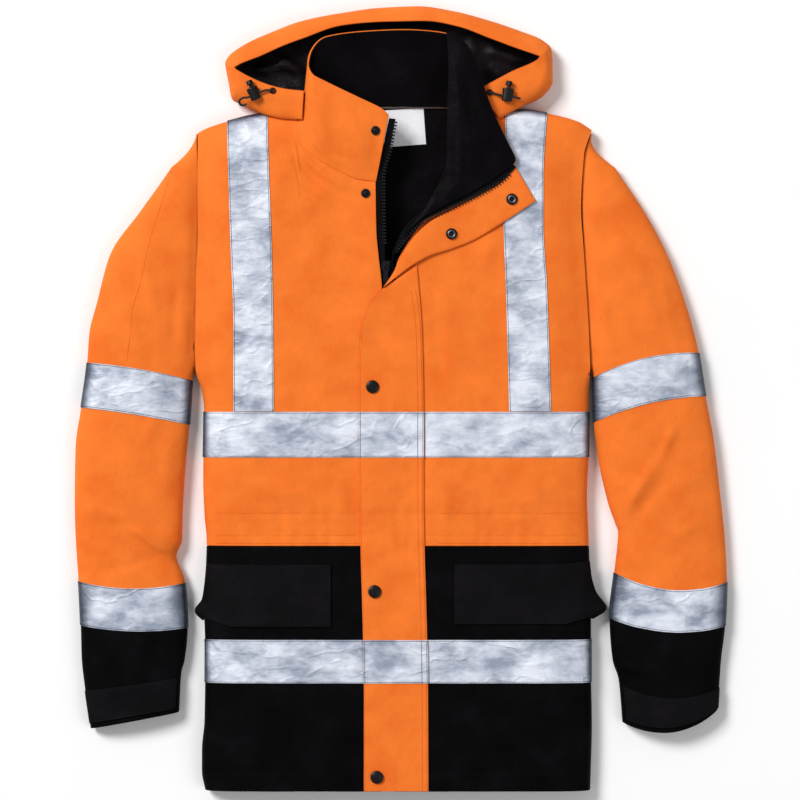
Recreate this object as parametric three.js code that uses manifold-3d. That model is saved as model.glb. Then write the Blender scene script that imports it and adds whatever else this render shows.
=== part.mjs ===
// Hi-vis work jacket laid flat on its back, front up. Millimetres, +Z up, the floor at z = 0.
// X runs across the jacket, Y from the hem to the hood, "right" is the wearer's right (negative X).
// Every cloth piece is a thin wall: a surface sampled on a grid and moved along its own normals.
import * as THREE from "three";
import { mergeVertices } from "three/addons/utils/BufferGeometryUtils.js";
import Module from "manifold-3d";

const wasm = await Module();
wasm.setup();
const { Manifold } = wasm;

// Driving sizes
const SHELL = 2.0; // outer cloth with its backing
const LINING = 1.5; // lining cloth
const TAPE = 0.7; // reflective tape
const GAP = 0.3; // air between two pieces
const LOFT = 32; // height of the front over the floor
const TUCK = 62; // how far each front wraps under the body to its side seam
const REST = 1.0; // rise of the underside where a tape lies between it and the floor
const SEAM_Y = -171; // seam between the orange and the black panels
const FLAP_Z = 0.5; // air between the fronts and the storm flap
const SNAP_D = 15; // snap cap diameter
const STUD_D = 10.5; // stud and socket diameter
const CORD_D = 2.6; // drawcord diameter

// Tape bands across the body, by height
const BANDS = [
  { name: "chest", low: -68.5, high: -16 },
  { name: "hem", low: -329, high: -279 },
];

// Rounded edge of a stuffed wall: distance in from the outline, height of the outside
const ROUND = [
  { q: 60, d: 60, z: 31.5 },
  { q: 30, d: 30, z: 29.5 },
  { q: 14, d: 14, z: 26.3 },
  { q: 6, d: 5, z: 22 },
  { q: 2, d: 1.3, z: 17 },
  { q: 0, d: 0, z: 11.5 },
  { q: -6, d: 0.9, z: 6 },
  { q: -10, d: 4, z: 2 },
  { q: -18, d: 12, z: 0 },
];
// The same wall where it meets the armhole seam
const VALLEY = [
  { d: 0, z: 23.5 },
  { d: 8, z: 25 },
  { d: 20, z: 28 },
  { d: 40, z: 31 },
  { d: 60, z: 31.5 },
];

// Outline of the body on each side, hem to shoulder tip
const SIDE_RIGHT = [
  { y: -454, x: -227 },
  { y: -432, x: -231 },
  { y: -408, x: -231 },
  { y: -373, x: -228 },
  { y: -291, x: -227 },
  { y: -256, x: -228 },
  { y: -199, x: -226.5 },
  { y: -166, x: -225.5 },
  { y: -135, x: -228 },
  { y: -95, x: -229.5 },
  { y: -15, x: -228.5 },
  { y: 8, x: -231 },
  { y: 30, x: -237 },
  { y: 55, x: -238 },
  { y: 131, x: -237 },
  { y: 193, x: -235 },
  { y: 312, x: -235 },
];
const SIDE_LEFT = [
  { y: -454, x: 219 },
  { y: -375, x: 221 },
  { y: -319, x: 220 },
  { y: -253, x: 220 },
  { y: -184, x: 218 },
  { y: -157, x: 217 },
  { y: -110, x: 215.5 },
  { y: -68, x: 217 },
  { y: 8, x: 217.5 },
  { y: 30, x: 218 },
  { y: 84, x: 216 },
  { y: 131, x: 213 },
  { y: 171, x: 210.5 },
  { y: 219, x: 207.5 },
  { y: 281, x: 211 },
  { y: 312, x: 221 },
];
// Top edge of each front by x: neck seam up to the neck corner, then the shoulder
const TOP_RIGHT = [
  { x: -236, y: 307 },
  { x: -227, y: 312 },
  { x: -200, y: 321 },
  { x: -164, y: 329 },
  { x: -123, y: 332 },
  { x: -121, y: 330 },
  { x: -117, y: 298 },
  { x: -105, y: 283 },
  { x: -86, y: 271 },
  { x: -68, y: 262 },
  { x: -48, y: 254 },
  { x: -20, y: 250 },
];
const TOP_LEFT = [
  { x: 36, y: 333 },
  { x: 97, y: 334 },
  { x: 141, y: 334 },
  { x: 169, y: 330 },
  { x: 204, y: 321 },
  { x: 222, y: 310 },
];
// Front edge of the left front: the closed part, then the roll of the turned-back lapel
const ROLL = [
  { y: -460, x: -8 },
  { y: 100, x: -8 },
  { y: 150, x: -6 },
  { y: 177, x: 6 },
  { y: 215, x: 32 },
  { y: 240, x: 44 },
  { y: 256, x: 53 },
  { y: 336, x: 57 },
];
// Front edge of the right front
const EDGE_RIGHT = [
  { y: -460, x: -24 },
  { y: 90, x: -24 },
  { y: 125, x: -22 },
  { y: 165, x: -26 },
  { y: 193, x: -28.5 },
  { y: 252, x: -29.5 },
];

// Reads a column of a table at a key, straight between its rows
function read(table, key, col, at) {
  const up = table[0][key] < table[table.length - 1][key];
  const rows = up ? table : [...table].reverse();
  if (at <= rows[0][key]) return rows[0][col];
  for (let i = 1; i < rows.length; i++) {
    if (at > rows[i][key]) continue;
    const t = (at - rows[i - 1][key]) / (rows[i][key] - rows[i - 1][key]);
    return rows[i - 1][col] + t * (rows[i][col] - rows[i - 1][col]);
  }
  return rows[rows.length - 1][col];
}
const clamp = (v, a, b) => Math.min(b, Math.max(a, v));
const mix = (a, b, t) => a + (b - a) * t;
const ease = (t) => {
  const c = clamp(t, 0, 1);
  return c * c * (3 - 2 * c);
};
const steps = (a, b, n) => Array.from({ length: n + 1 }, (_, i) => mix(a, b, i / n));

const group = new THREE.Group();
const FINISHES = {
  orange: { color: 0xf87c2c, roughness: 0.75, metalness: 0 },
  black: { color: 0x0c0b0e, roughness: 0.8, metalness: 0 },
  lining: { color: 0x121014, roughness: 0.45, metalness: 0 },
  tape: { color: 0xb9c0d2, roughness: 0.4, metalness: 0 },
  metal: { color: 0x23252a, roughness: 0.35, metalness: 0.8 },
  plastic: { color: 0x0a0a0c, roughness: 0.5, metalness: 0 },
  label: { color: 0xf2f2f4, roughness: 0.6, metalness: 0 },
};
function add(name, geometry, colour) {
  const { color, roughness, metalness } = FINISHES[colour];
  const material = new THREE.MeshStandardMaterial({ color, roughness, metalness });
  const mesh = new THREE.Mesh(geometry, material);
  mesh.name = name;
  group.add(mesh);
  return mesh;
}

// Unit direction of a grid line at a point, from its two neighbours
function along(before, here, after) {
  const a = here.clone().sub(before);
  const b = after.clone().sub(here);
  if (a.lengthSq() > 0) a.normalize();
  if (b.lengthSq() > 0) b.normalize();
  return a.add(b).normalize();
}

// Thin wall on a grid of points, from offset low to offset high along the normals.
// ring closes the second direction; turn swaps which side counts as outside.
function wall(points, low, high, { ring = false, turn = false } = {}) {
  const m = points.length;
  const n = points[0].length;
  const at = (i, j) => {
    const row = points[clamp(i, 0, m - 1)];
    return ring ? row[(j + n) % n] : row[clamp(j, 0, n - 1)];
  };
  const verts = [];
  for (const off of [high, low]) {
    for (let i = 0; i < m; i++) {
      for (let j = 0; j < n; j++) {
        const p = at(i, j);
        const normal = along(at(i - 1, j), p, at(i + 1, j))
          .cross(along(at(i, j - 1), p, at(i, j + 1)))
          .normalize();
        const q = p.clone().addScaledVector(normal, turn ? -off : off);
        verts.push(q.x, q.y, q.z);
      }
    }
  }
  const index = [];
  const quad = (a, b, c, d) => index.push(a, b, c, a, c, d);
  const top = (i, j) => i * n + (j % n);
  const under = (i, j) => m * n + top(i, j);
  const cols = ring ? n : n - 1;
  for (let i = 0; i < m - 1; i++) {
    for (let j = 0; j < cols; j++) {
      quad(top(i, j), top(i + 1, j), top(i + 1, j + 1), top(i, j + 1));
      quad(under(i, j), under(i, j + 1), under(i + 1, j + 1), under(i + 1, j));
    }
  }
  for (let j = 0; j < cols; j++) {
    quad(top(0, j), top(0, j + 1), under(0, j + 1), under(0, j));
    quad(top(m - 1, j + 1), top(m - 1, j), under(m - 1, j), under(m - 1, j + 1));
  }
  if (!ring) {
    for (let i = 0; i < m - 1; i++) {
      quad(top(i + 1, 0), top(i, 0), under(i, 0), under(i + 1, 0));
      quad(top(i, n - 1), top(i + 1, n - 1), under(i + 1, n - 1), under(i, n - 1));
    }
  }
  if (turn) {
    for (let k = 0; k < index.length; k += 3) {
      [index[k + 1], index[k + 2]] = [index[k + 2], index[k + 1]];
    }
  }
  const geometry = new THREE.BufferGeometry();
  geometry.setAttribute("position", new THREE.Float32BufferAttribute(verts, 3));
  geometry.setIndex(index);
  geometry.computeVertexNormals();
  return geometry;
}
const sample = (us, vs, f) => us.map((u) => vs.map((v) => new THREE.Vector3(...f(u, v))));

// Rise of the underside over a tape band, with a short ramp on each side
function bandRise(y) {
  let rise = 0;
  for (const b of BANDS) {
    const inside = Math.min(y - b.low, b.high - y);
    rise = Math.max(rise, clamp(1 + inside / 3, 0, 1));
  }
  return REST * rise;
}

// How far a front wraps under the body: nothing above the armpit
const wrapped = (y) => clamp((30 - y) / 24, 0, 1);
const tuckAt = (y) => mix(14, TUCK, ease((8 - y) / 90));

// Soft folds on the fronts: height over the plain loft
function frontRelief(x, y) {
  const waist = -1.2 * Math.exp(-(((y + 145) / 16) ** 2));
  const belly = 1.6 * Math.exp(-(((y + 240) / 60) ** 2)) * Math.cos(x / 75);
  const chest = 1.5 * Math.exp(-(((y - 120) / 90) ** 2)) * Math.cos(x / 90);
  return waist + belly + chest;
}

// Point on the outside of a front: q runs from the side (0) to the front edge, below 0 under the body
function frontPoint(hand, q, y) {
  const side = read(hand < 0 ? SIDE_RIGHT : SIDE_LEFT, "y", "x", y);
  const w = wrapped(y);
  const tuck = tuckAt(y);
  const end = -18 - (tuck - 12);
  let d = q;
  let z = LOFT - 0.5;
  if (q < -18) {
    d = 12 + (-18 - q);
    z = 0;
  } else if (q < 60) {
    d = read(ROUND, "q", "d", q);
    z = read(ROUND, "q", "z", q);
  }
  if (q < 0) z += bandRise(y) * clamp(-q / 10, 0, 1);
  const reach = q < 0 ? (q / end) * -0.3 : q;
  const open = q < 0 ? 23.5 : read(VALLEY, "d", "z", Math.max(q, 0));
  d = mix(reach, d, w);
  z = mix(open, z, w);
  const x = side - hand * d;
  const fold = frontRelief(x, y) * clamp((q - 14) / 50, 0, 1);
  z += fold;
  const shoulder = shoulderLine(hand, x) - y;
  if (shoulder < 60) {
    const f = (read(ROUND, "d", "z", Math.max(shoulder, 0)) - 11.5) / 20;
    z = 11.5 + (z - 11.5) * clamp(f, 0, 1);
  }
  return [x, y, z];
}
// Outline of the shoulder, carried on past the neck so the wall stays high along the neck seam
function shoulderLine(hand, x) {
  if (hand < 0) return x > -122 ? 332 + (x + 122) * 3 : read(TOP_RIGHT, "x", "y", x);
  return x < 97 ? 334 + (97 - x) * 1.5 : read(TOP_LEFT, "x", "y", x);
}
const topEdge = (hand, x) => read(hand < 0 ? TOP_RIGHT : TOP_LEFT, "x", "y", x);

// Columns of a front from its side seam to its front edge, as fractions of the widths
const ROUND_Q = [30, 14, 6, 2, 0, -6, -10, -18];
function frontGrid(hand, ys, cols, edge) {
  return ys.map((y) => {
    const side = read(hand < 0 ? SIDE_RIGHT : SIDE_LEFT, "y", "x", y);
    const far = Math.abs(read(edge, "y", "x", y) - side);
    const end = -18 - (tuckAt(y) - 12);
    const qs = [...steps(far, 60, cols), ...ROUND_Q, end];
    return qs.map((q) => new THREE.Vector3(...frontPoint(hand, q, y)));
  });
}
// Upper part of a front: rows rise to the neck seam or the shoulder of their own column
function frontUpperGrid(hand, edge, neckXs) {
  const flat = [-170.7, -145, -120, -71.5, -68.5, -16, -13, 0, 8, 16, 24, 30, 60];
  const rise = [0.4, 0.8];
  const drops = [30, 14, 5, 1.3, 0];
  const rows = [];
  const place = (qOf, yOf) =>
    [...neckXs, 30, 14, 6, 2, 0, -6, -10, -18, "end"].map((c, j) => {
      const y0 = yOf(j);
      return new THREE.Vector3(...frontPoint(hand, qOf(c, y0), y0));
    });
  const sideAt = (y) => read(hand < 0 ? SIDE_RIGHT : SIDE_LEFT, "y", "x", y);
  const qOf = (c, y) => {
    const far = Math.abs(read(edge, "y", "x", y) - sideAt(y));
    if (c === "end") return -18 - (tuckAt(y) - 12);
    if (typeof c === "number") return c;
    return mix(60, far, c.f);
  };
  for (const y of flat) rows.push(place(qOf, () => y));
  const tops = [...neckXs, 30, 14, 6, 2, 0, -6, -10, -18, "end"].map((c) => {
    let y = 300;
    for (let k = 0; k < 12; k++) y = topEdge(hand, frontPoint(hand, qOf(c, y), y)[0]);
    return y;
  });
  for (const r of rise) rows.push(place(qOf, (j) => mix(60, tops[j] - 45, r)));
  for (const d of drops) rows.push(place(qOf, (j) => tops[j] - d));
  return rows;
}
const fr = (list) => list.map((f) => ({ f }));
const COLS_RIGHT = [1, 0.88, 0.76, 0.64, 0.52, 0.42, 0.385, 0.365, 0.36, 0.24, 0];
const COLS_LEFT = [1, 0.85, 0.7, 0.5, 0.3, 0];
const upperRight = frontUpperGrid(-1, EDGE_RIGHT, fr(COLS_RIGHT));
const upperLeft = frontUpperGrid(1, ROLL, fr(COLS_LEFT));
const lowerYs = [-454, -432, -373, -332, -329, -279, -276, -240, -199, -171.3];
add("front_upper_right", wall(upperRight, -SHELL, 0), "orange");
add("front_upper_left", wall(upperLeft, -SHELL, 0, { turn: true }), "orange");
add("front_lower_right", wall(frontGrid(-1, lowerYs, 3, EDGE_RIGHT), -SHELL, 0), "black");
add("front_lower_left", wall(frontGrid(1, lowerYs, 3, ROLL), -SHELL, 0, { turn: true }), "black");

// The back: one flat panel above the seam and one below, edge to edge with the wrapped fronts
const BACK_TAPES = [
  { name: "right", low: -200, high: -152 },
  { name: "left", low: 121, high: 169 },
];
// Top edge of the back: level behind the neck, then the shoulders
function backTop(x) {
  if (x < -122 || x > 97) return shoulderLine(x < 0 ? -1 : 1, x);
  return mix(332, 334, (x + 122) / 219);
}
function backPoint(x, y) {
  let z = bandRise(y);
  for (const t of BACK_TAPES) {
    const inside = Math.min(x - t.low, t.high - x);
    if (y > -19) z = Math.max(z, REST * clamp(1 + inside / 3, 0, 1));
  }
  const d = backTop(x) - y;
  if (d < 12 && (x < -122 || x > 97)) {
    z = Math.max(z * clamp(d / 12, 0, 1), read(CURL, "d", "z", d));
  }
  return [x, y, z];
}
const CURL = [
  { d: 0, z: 8.4 },
  { d: 0.9, z: 5.5 },
  { d: 4, z: 2 },
  { d: 12, z: 0 },
];
const BACK_X = [-203, -200, -152, -149, -123, -121, 0, 96, 98, 118, 121, 169, 172];
function backGrid(ys) {
  return ys.map((yRow) =>
    ["r", ...BACK_X, "l"].map((c, j) => {
      const lim = (hand, y) => {
        const side = read(hand < 0 ? SIDE_RIGHT : SIDE_LEFT, "y", "x", y);
        return side - hand * mix(0, tuckAt(y) + 0.4, wrapped(y));
      };
      let y = typeof yRow === "number" ? yRow : 300;
      const xOf = () => {
        const lo = lim(-1, y);
        const hi = lim(1, y);
        const x = c === "r" ? lo : c === "l" ? hi : c;
        return clamp(x, lo + 0.4 * j, hi - 0.4 * (BACK_X.length + 1 - j));
      };
      if (typeof yRow !== "number") {
        for (let k = 0; k < 8; k++) {
          y = backTop(xOf()) - yRow.drop;
        }
      }
      return new THREE.Vector3(...backPoint(xOf(), y));
    }),
  );
}
const drops = [30, 12, 4, 0.9, 0].map((drop) => ({ drop }));
const backUpperYs = [-170.7, -145, -120, -71.5, -68.5, -19, -16, 0, 8, 16, 24, 30, 170, ...drops];
add("back_upper", wall(backGrid(backUpperYs), 0, SHELL, { turn: true }), "orange");
const backLowerYs = [-454, -332, -329, -279, -276, -171.3];
add("back_lower", wall(backGrid(backLowerYs), 0, SHELL, { turn: true }), "black");

// Sleeves: stations from the armhole (0) to the hand, each a line from the outer to the inner edge
const SLEEVE_RIGHT = [
  { s: 0, ox: -242.5, oy: 306.5, ix: -237.5, iy: 31, h: 24 },
  { s: 1, ox: -266, oy: 268, ix: -239, iy: 29.5, h: 26 },
  { s: 2, ox: -302, oy: 217, ix: -240, iy: 27.5, h: 28 },
  { s: 3, ox: -337, oy: 167, ix: -241, iy: 25.5, h: 29 },
  { s: 4, ox: -352, oy: 113, ix: -241.5, iy: 24, h: 29 },
  { s: 5, ox: -361.5, oy: 75, ix: -241.5, iy: 22.5, h: 29 },
  { s: 6, ox: -364, oy: 41, ix: -242, iy: 20, h: 29 },
  { s: 7, ox: -371, oy: -11, ix: -245.5, iy: -31, h: 29 },
  { s: 8, ox: -377.5, oy: -58, ix: -249.5, iy: -75, h: 29 },
  { s: 9, ox: -378.5, oy: -121, ix: -253, iy: -128, h: 28 },
  { s: 10, ox: -377.5, oy: -160, ix: -254, iy: -164, h: 27 },
  { s: 11, ox: -376, oy: -185, ix: -260.5, iy: -184, h: 26 },
  { s: 12, ox: -374, oy: -212, ix: -250.5, iy: -214, h: 27 },
  { s: 13, ox: -371.5, oy: -263, ix: -247.5, iy: -266, h: 27 },
  { s: 14, ox: -370.5, oy: -301, ix: -251, iy: -303, h: 26 },
  { s: 15, ox: -367, oy: -334, ix: -255, iy: -320, h: 25 },
  { s: 16, ox: -360, oy: -383, ix: -257.5, iy: -364, h: 25 },
];
const SLEEVE_LEFT = [
  { s: 0, ox: 224, oy: 306, ix: 218.8, iy: 31.5, h: 24 },
  { s: 1, ox: 248, oy: 267, ix: 219.5, iy: 30.5, h: 26 },
  { s: 2, ox: 283, oy: 214, ix: 220.2, iy: 29, h: 28 },
  { s: 3, ox: 309, oy: 165, ix: 220.6, iy: 27.5, h: 29 },
  { s: 4, ox: 329, oy: 112, ix: 220.8, iy: 26.5, h: 29 },
  { s: 5, ox: 339, oy: 78, ix: 221, iy: 25, h: 29 },
  { s: 6, ox: 345, oy: 52, ix: 221.5, iy: 23, h: 29 },
  { s: 7, ox: 353, oy: 2, ix: 223, iy: -28, h: 29 },
  { s: 8, ox: 362, oy: -46, ix: 228.5, iy: -72, h: 29 },
  { s: 9, ox: 369.5, oy: -108, ix: 241, iy: -126, h: 28 },
  { s: 10, ox: 373, oy: -139, ix: 247.5, iy: -144, h: 27 },
  { s: 11, ox: 375.5, oy: -165, ix: 251.5, iy: -158, h: 26 },
  { s: 12, ox: 377.5, oy: -213, ix: 247, iy: -202, h: 27 },
  { s: 13, ox: 375.5, oy: -264, ix: 241.5, iy: -255, h: 27 },
  { s: 14, ox: 371, oy: -303, ix: 245, iy: -303, h: 26 },
  { s: 15, ox: 369, oy: -331, ix: 252, iy: -326, h: 25 },
  { s: 16, ox: 367, oy: -361, ix: 256.5, iy: -376, h: 25 },
];
// How far the middle of a station bows towards the hand
const BOW = [
  { s: 0, right: 0, left: 0 },
  { s: 3, right: 0, left: 0 },
  { s: 5, right: -2, left: -6 },
  { s: 6, right: -3, left: -9 },
  { s: 7, right: -2, left: -7 },
  { s: 8, right: 0, left: -3 },
  { s: 10, right: 1, left: 2 },
  { s: 11, right: 3, left: 7 },
  { s: 12, right: 7, left: 14 },
  { s: 13, right: 5, left: 11 },
  { s: 14, right: 2, left: 12 },
  { s: 15, right: 0, left: 14 },
  { s: 16, right: 0, left: 18 },
];
// Round the sleeve: end (outer 0, inner 1), distance in from that end, height at a loft of 31.5
const LOOP = [
  ...ROUND.slice(1, 6).reverse().map((r) => ({ end: 0, d: r.d, z: r.z })),
  { end: 0.5, d: 0, z: 31.5 },
  ...ROUND.slice(1, 6).map((r) => ({ end: 1, d: r.d, z: r.z })),
  ...ROUND.slice(6).map((r) => ({ end: 1, d: r.d, z: r.z })),
  ...ROUND.slice(6).reverse().map((r) => ({ end: 0, d: r.d, z: r.z })),
];
const SLEEVE_BANDS = [
  { name: "upper", low: 6, high: 7 },
  { name: "lower", low: 12, high: 13 },
];
function sleevePoint(hand, s, k) {
  const table = hand < 0 ? SLEEVE_RIGHT : SLEEVE_LEFT;
  const v = (col) => read(table, "s", col, s);
  const p = LOOP[k];
  const long = Math.hypot(v("ox") - v("ix"), v("oy") - v("iy"));
  const u = p.end === 0.5 ? 0.5 : p.end ? 1 - p.d / long : p.d / long;
  let x = mix(v("ox"), v("ix"), u);
  const y = mix(v("oy"), v("iy"), u);
  const tip = p.end === 0 ? clamp(1 - p.d / 30, 0, 1) : 0;
  const arm = read(hand < 0 ? SIDE_RIGHT : SIDE_LEFT, "y", "x", y) + hand * (0.7 + 1.8 * tip);
  x = mix(x, arm, clamp(1 - s, 0, 1));
  const bow = 4 * u * (1 - u) * read(BOW, "s", hand < 0 ? "right" : "left", s);
  x -= (hand * bow * (v("iy") - v("oy"))) / long;
  let z = (p.z * v("h")) / 31.5;
  const low = clamp(1 - z / 10, 0, 1);
  let rise = 0;
  for (const b of SLEEVE_BANDS) {
    rise = Math.max(rise, clamp(1 + Math.min(s - b.low, b.high - s) / 0.1, 0, 1));
  }
  z += REST * rise * low;
  return new THREE.Vector3(x, y + (hand * bow * (v("ix") - v("ox"))) / long, z);
}
const sleeveGrid = (hand, list) => list.map((s) => LOOP.map((_, k) => sleevePoint(hand, s, k)));
const UPPER_S = [0, 1, 2, 3, 4, 5, 5.9, 6, 7, 7.1, 8, 9, 10, 11, 11.9, 12, 12.5];
const LOWER_S = [12.51, 13, 13.1, 14, 15, 16];
for (const [hand, side] of [[-1, "right"], [1, "left"]]) {
  const ring = { ring: true, turn: hand > 0 };
  add("sleeve_" + side, wall(sleeveGrid(hand, UPPER_S), -SHELL, 0, ring), "orange");
  add("sleeve_lower_" + side, wall(sleeveGrid(hand, LOWER_S), -SHELL, 0, ring), "black");
  for (const b of SLEEVE_BANDS) {
    const rows = sleeveGrid(hand, [b.low, (b.low + b.high) / 2, b.high]);
    add("tape_sleeve_" + b.name + "_" + side, wall(rows, GAP, GAP + TAPE, ring), "tape");
  }
  const tab = [15.12, 15.5, 15.88].map((s) => LOOP.map((_, k) => sleevePoint(hand, s, k)).slice(1, 9));
  add("cuff_tab_" + side, wall(tab, GAP, GAP + SHELL, { turn: hand > 0 }), "black");
}

// Tapes on the fronts: the panel's own columns, cut at the storm flap
const FLAP_LEFT = [
  { y: -460, x: -43.4 },
  { y: -331, x: -43.4 },
  { y: -276, x: -44.4 },
  { y: -68.5, x: -48.4 },
  { y: -17, x: -48.4 },
];
const FLAP_RIGHT = [
  { y: -460, x: 31.8 },
  { y: -276, x: 30.6 },
  { y: -17, x: 26.8 },
];
function bandGrid(hand, b) {
  const upper = b.low > SEAM_Y;
  const cols = upper ? (hand < 0 ? COLS_RIGHT : COLS_LEFT) : [1, 2 / 3, 1 / 3, 0];
  return [b.low, b.high].map((y) => {
    const side = read(hand < 0 ? SIDE_RIGHT : SIDE_LEFT, "y", "x", y);
    const far = Math.abs(read(hand < 0 ? EDGE_RIGHT : ROLL, "y", "x", y) - side);
    const near = Math.abs(read(hand < 0 ? FLAP_LEFT : FLAP_RIGHT, "y", "x", y) - side);
    const end = -18 - (tuckAt(y) - 12);
    const inside = cols.map((f) => mix(60, far, f)).filter((q) => q < near - 1);
    return [near, ...inside, ...ROUND_Q, end].map((q) => new THREE.Vector3(...frontPoint(hand, q, y)));
  });
}
for (const b of BANDS) {
  add("tape_" + b.name + "_right", wall(bandGrid(-1, b), GAP, GAP + TAPE), "tape");
  add("tape_" + b.name + "_left", wall(bandGrid(1, b), GAP, GAP + TAPE, { turn: true }), "tape");
  const lim = (hand, y) => {
    const side = read(hand < 0 ? SIDE_RIGHT : SIDE_LEFT, "y", "x", y);
    return side - hand * (tuckAt(y) + 0.8);
  };
  const rows = [b.low, b.high].map((y) =>
    [0, 1].map((f) => new THREE.Vector3(mix(lim(-1, y), lim(1, y), f), y, REST)),
  );
  add("tape_back_" + b.name, wall(rows, GAP, GAP + TAPE), "tape");
}
// Tapes over the shoulders: x of both edges by y on the front, straight on the back
const SHOULDER_TAPES = [
  { side: "right", y: -15.4, a: -193.5, b: -147 },
  { side: "right", y: 80, a: -193.5, b: -147.5 },
  { side: "right", y: 180, a: -197, b: -149.5 },
  { side: "right", y: 281, a: -200, b: -153 },
  { side: "right", y: 331, a: -201.5, b: -154.5 },
  { side: "left", y: -15.4, a: 124.5, b: 173 },
  { side: "left", y: 131, a: 120.5, b: 168 },
  { side: "left", y: 201, a: 118, b: 164 },
  { side: "left", y: 255, a: 119, b: 164 },
  { side: "left", y: 334, a: 120.5, b: 169 },
];
for (const [hand, side] of [[-1, "right"], [1, "left"]]) {
  const table = SHOULDER_TAPES.filter((r) => r.side === side);
  const base = [-15.4, 0, 8, 16, 24, 30, 60, 80, 131, 160, 200, 230, 255, 285];
  const levels = [...base, ...[45, 30, 14, 5, 1.3, 0].map((drop) => ({ drop }))];
  const rows = levels.map((l) =>
    [0, 0.5, 1].map((f) => {
      let y = typeof l === "number" ? l : 300;
      let x = 0;
      for (let k = 0; k < 6; k++) {
        x = mix(read(table, "y", "a", y), read(table, "y", "b", y), f);
        if (typeof l !== "number") y = topEdge(hand, x) - l.drop;
      }
      const q = -hand * (x - read(hand < 0 ? SIDE_RIGHT : SIDE_LEFT, "y", "x", y));
      return new THREE.Vector3(...frontPoint(hand, q, y));
    }),
  );
  add("tape_shoulder_" + side, wall(rows, GAP + 0.2, GAP + 0.2 + TAPE, { turn: true }), "tape");
  const t = BACK_TAPES.find((r) => r.name === side);
  const backRows = [-15.6, 170, 300, { drop: 12.5 }].map((l) =>
    [0, 1].map((f) => {
      const x = mix(t.low + 0.4, t.high - 0.4, f);
      const y = typeof l === "number" ? l : shoulderLine(hand, x) - l.drop;
      return new THREE.Vector3(x, y, REST);
    }),
  );
  add("tape_back_" + side, wall(backRows, GAP, GAP + TAPE), "tape");
}

// Storm flap over the closed fronts: free edge on the right, sewn edge on the left
const bodyTop = (x, y) => LOFT - 0.5 + frontRelief(x, y);
const FLAP = [
  { fx: -43, fy: -453.5, gx: 31.5, gy: -453.5 },
  { fx: -43, fy: -332, gx: 31, gy: -332 },
  { fx: -44, fy: -276, gx: 30, gy: -276 },
  { fx: -45.5, fy: -222, gx: 28.5, gy: -222 },
  { fx: -47, fy: -171, gx: 27, gy: -171 },
  { fx: -47.5, fy: -145, gx: 26.5, gy: -145 },
  { fx: -47.7, fy: -120, gx: 26, gy: -120 },
  { fx: -48, fy: -68.5, gx: 26, gy: -68.5 },
  { fx: -48, fy: -16, gx: 26, gy: -16 },
  { fx: -48, fy: 44, gx: 25, gy: 44 },
  { fx: -46, fy: 79, gx: 24, gy: 79 },
  { fx: -40, fy: 100, gx: 22, gy: 108 },
  { fx: -32, fy: 113, gx: 20, gy: 131 },
  { fx: -21.5, fy: 126, gx: 18, gy: 153 },
];
const flapRow = (r, cut) =>
  cut.map((f) => {
    const x = mix(r.fx, r.gx, f);
    const y = mix(r.fy, r.gy, f);
    return new THREE.Vector3(x, y, bodyTop(x, y) + FLAP_Z + SHELL);
  });
const FLAP_CUT = [0, 0.04, 0.35, 0.65, 0.96, 1];
add("storm_flap", wall(FLAP.map((r) => flapRow(r, FLAP_CUT)), -SHELL, 0, { turn: true }), "orange");
for (const b of BANDS) {
  const rows = [b.low, b.high].map((y) => {
    const r = { fx: read(FLAP, "fy", "fx", y), gx: read(FLAP, "fy", "gx", y), fy: y, gy: y };
    return flapRow(r, [0.006, 0.04, 0.35, 0.65, 0.96, 0.994]);
  });
  add("tape_" + b.name + "_flap", wall(rows, GAP, GAP + TAPE, { turn: true }), "tape");
}

// Turned-back top of the flap: free edge below, zip edge above, and its height over the fronts
const FLAP_TOP = [
  { lx: -12, ly: 134, ux: -10.5, uy: 136, dz: 2.9 },
  { lx: -6, ly: 139, ux: -2, uy: 155, dz: 2.9 },
  { lx: 10, ly: 151, ux: 12, uy: 183, dz: 2.9 },
  { lx: 33, ly: 164, ux: 36, uy: 205, dz: 2.4 },
  { lx: 58, ly: 172, ux: 63, uy: 219, dz: 1.4 },
  { lx: 81, ly: 181, ux: 94, uy: 236, dz: 1.2 },
  { lx: 116, ly: 201.5, ux: 115, uy: 248, dz: 1.9 },
  { lx: 155, ly: 227, ux: 131.5, uy: 267, dz: 2.3 },
];
function frontTop(x, y) {
  const side = read(SIDE_LEFT, "y", "x", y);
  return frontPoint(1, side - x, y)[2];
}
const topRow = (r, n) =>
  steps(0, 1, n).map((f) => {
    const x = mix(r.lx, r.ux, f);
    const y = mix(r.ly, r.uy, f);
    return new THREE.Vector3(x, y, frontTop(x, y) + r.dz + SHELL);
  });
add("storm_flap_top", wall(FLAP_TOP.map((r) => topRow(r, 3)), -SHELL, 0), "orange");

// Lapel: the left collar and front edge turned back, shell face down and lining on top
const LAPEL = [
  { lx: -5, ly: 174, rx: -2.5, ry: 178.5 },
  { lx: 3, ly: 185, rx: 9, ry: 193 },
  { lx: 12, ly: 198, rx: 26, ry: 207 },
  { lx: 26, ly: 217, rx: 56, ry: 222 },
  { lx: 37, ly: 236, rx: 90, ry: 238.5 },
  { lx: 47, ly: 256, rx: 118, ry: 256 },
  { lx: 51.5, ly: 274, rx: 132, ry: 273 },
  { lx: 52, ly: 292, rx: 124, ry: 292 },
  { lx: 52.5, ly: 312, rx: 114, ry: 312 },
  { lx: 53, ly: 345, rx: 100, ry: 345 },
  { lx: 54, ly: 380, rx: 88, ry: 382 },
  { lx: 53, ly: 404, rx: 76, ry: 406 },
  { lx: 51.5, ly: 421, rx: 58, ry: 422 },
];
const LAPEL_CUT = [0, 0.06, 0.3, 0.6, 0.94, 1];
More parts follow.
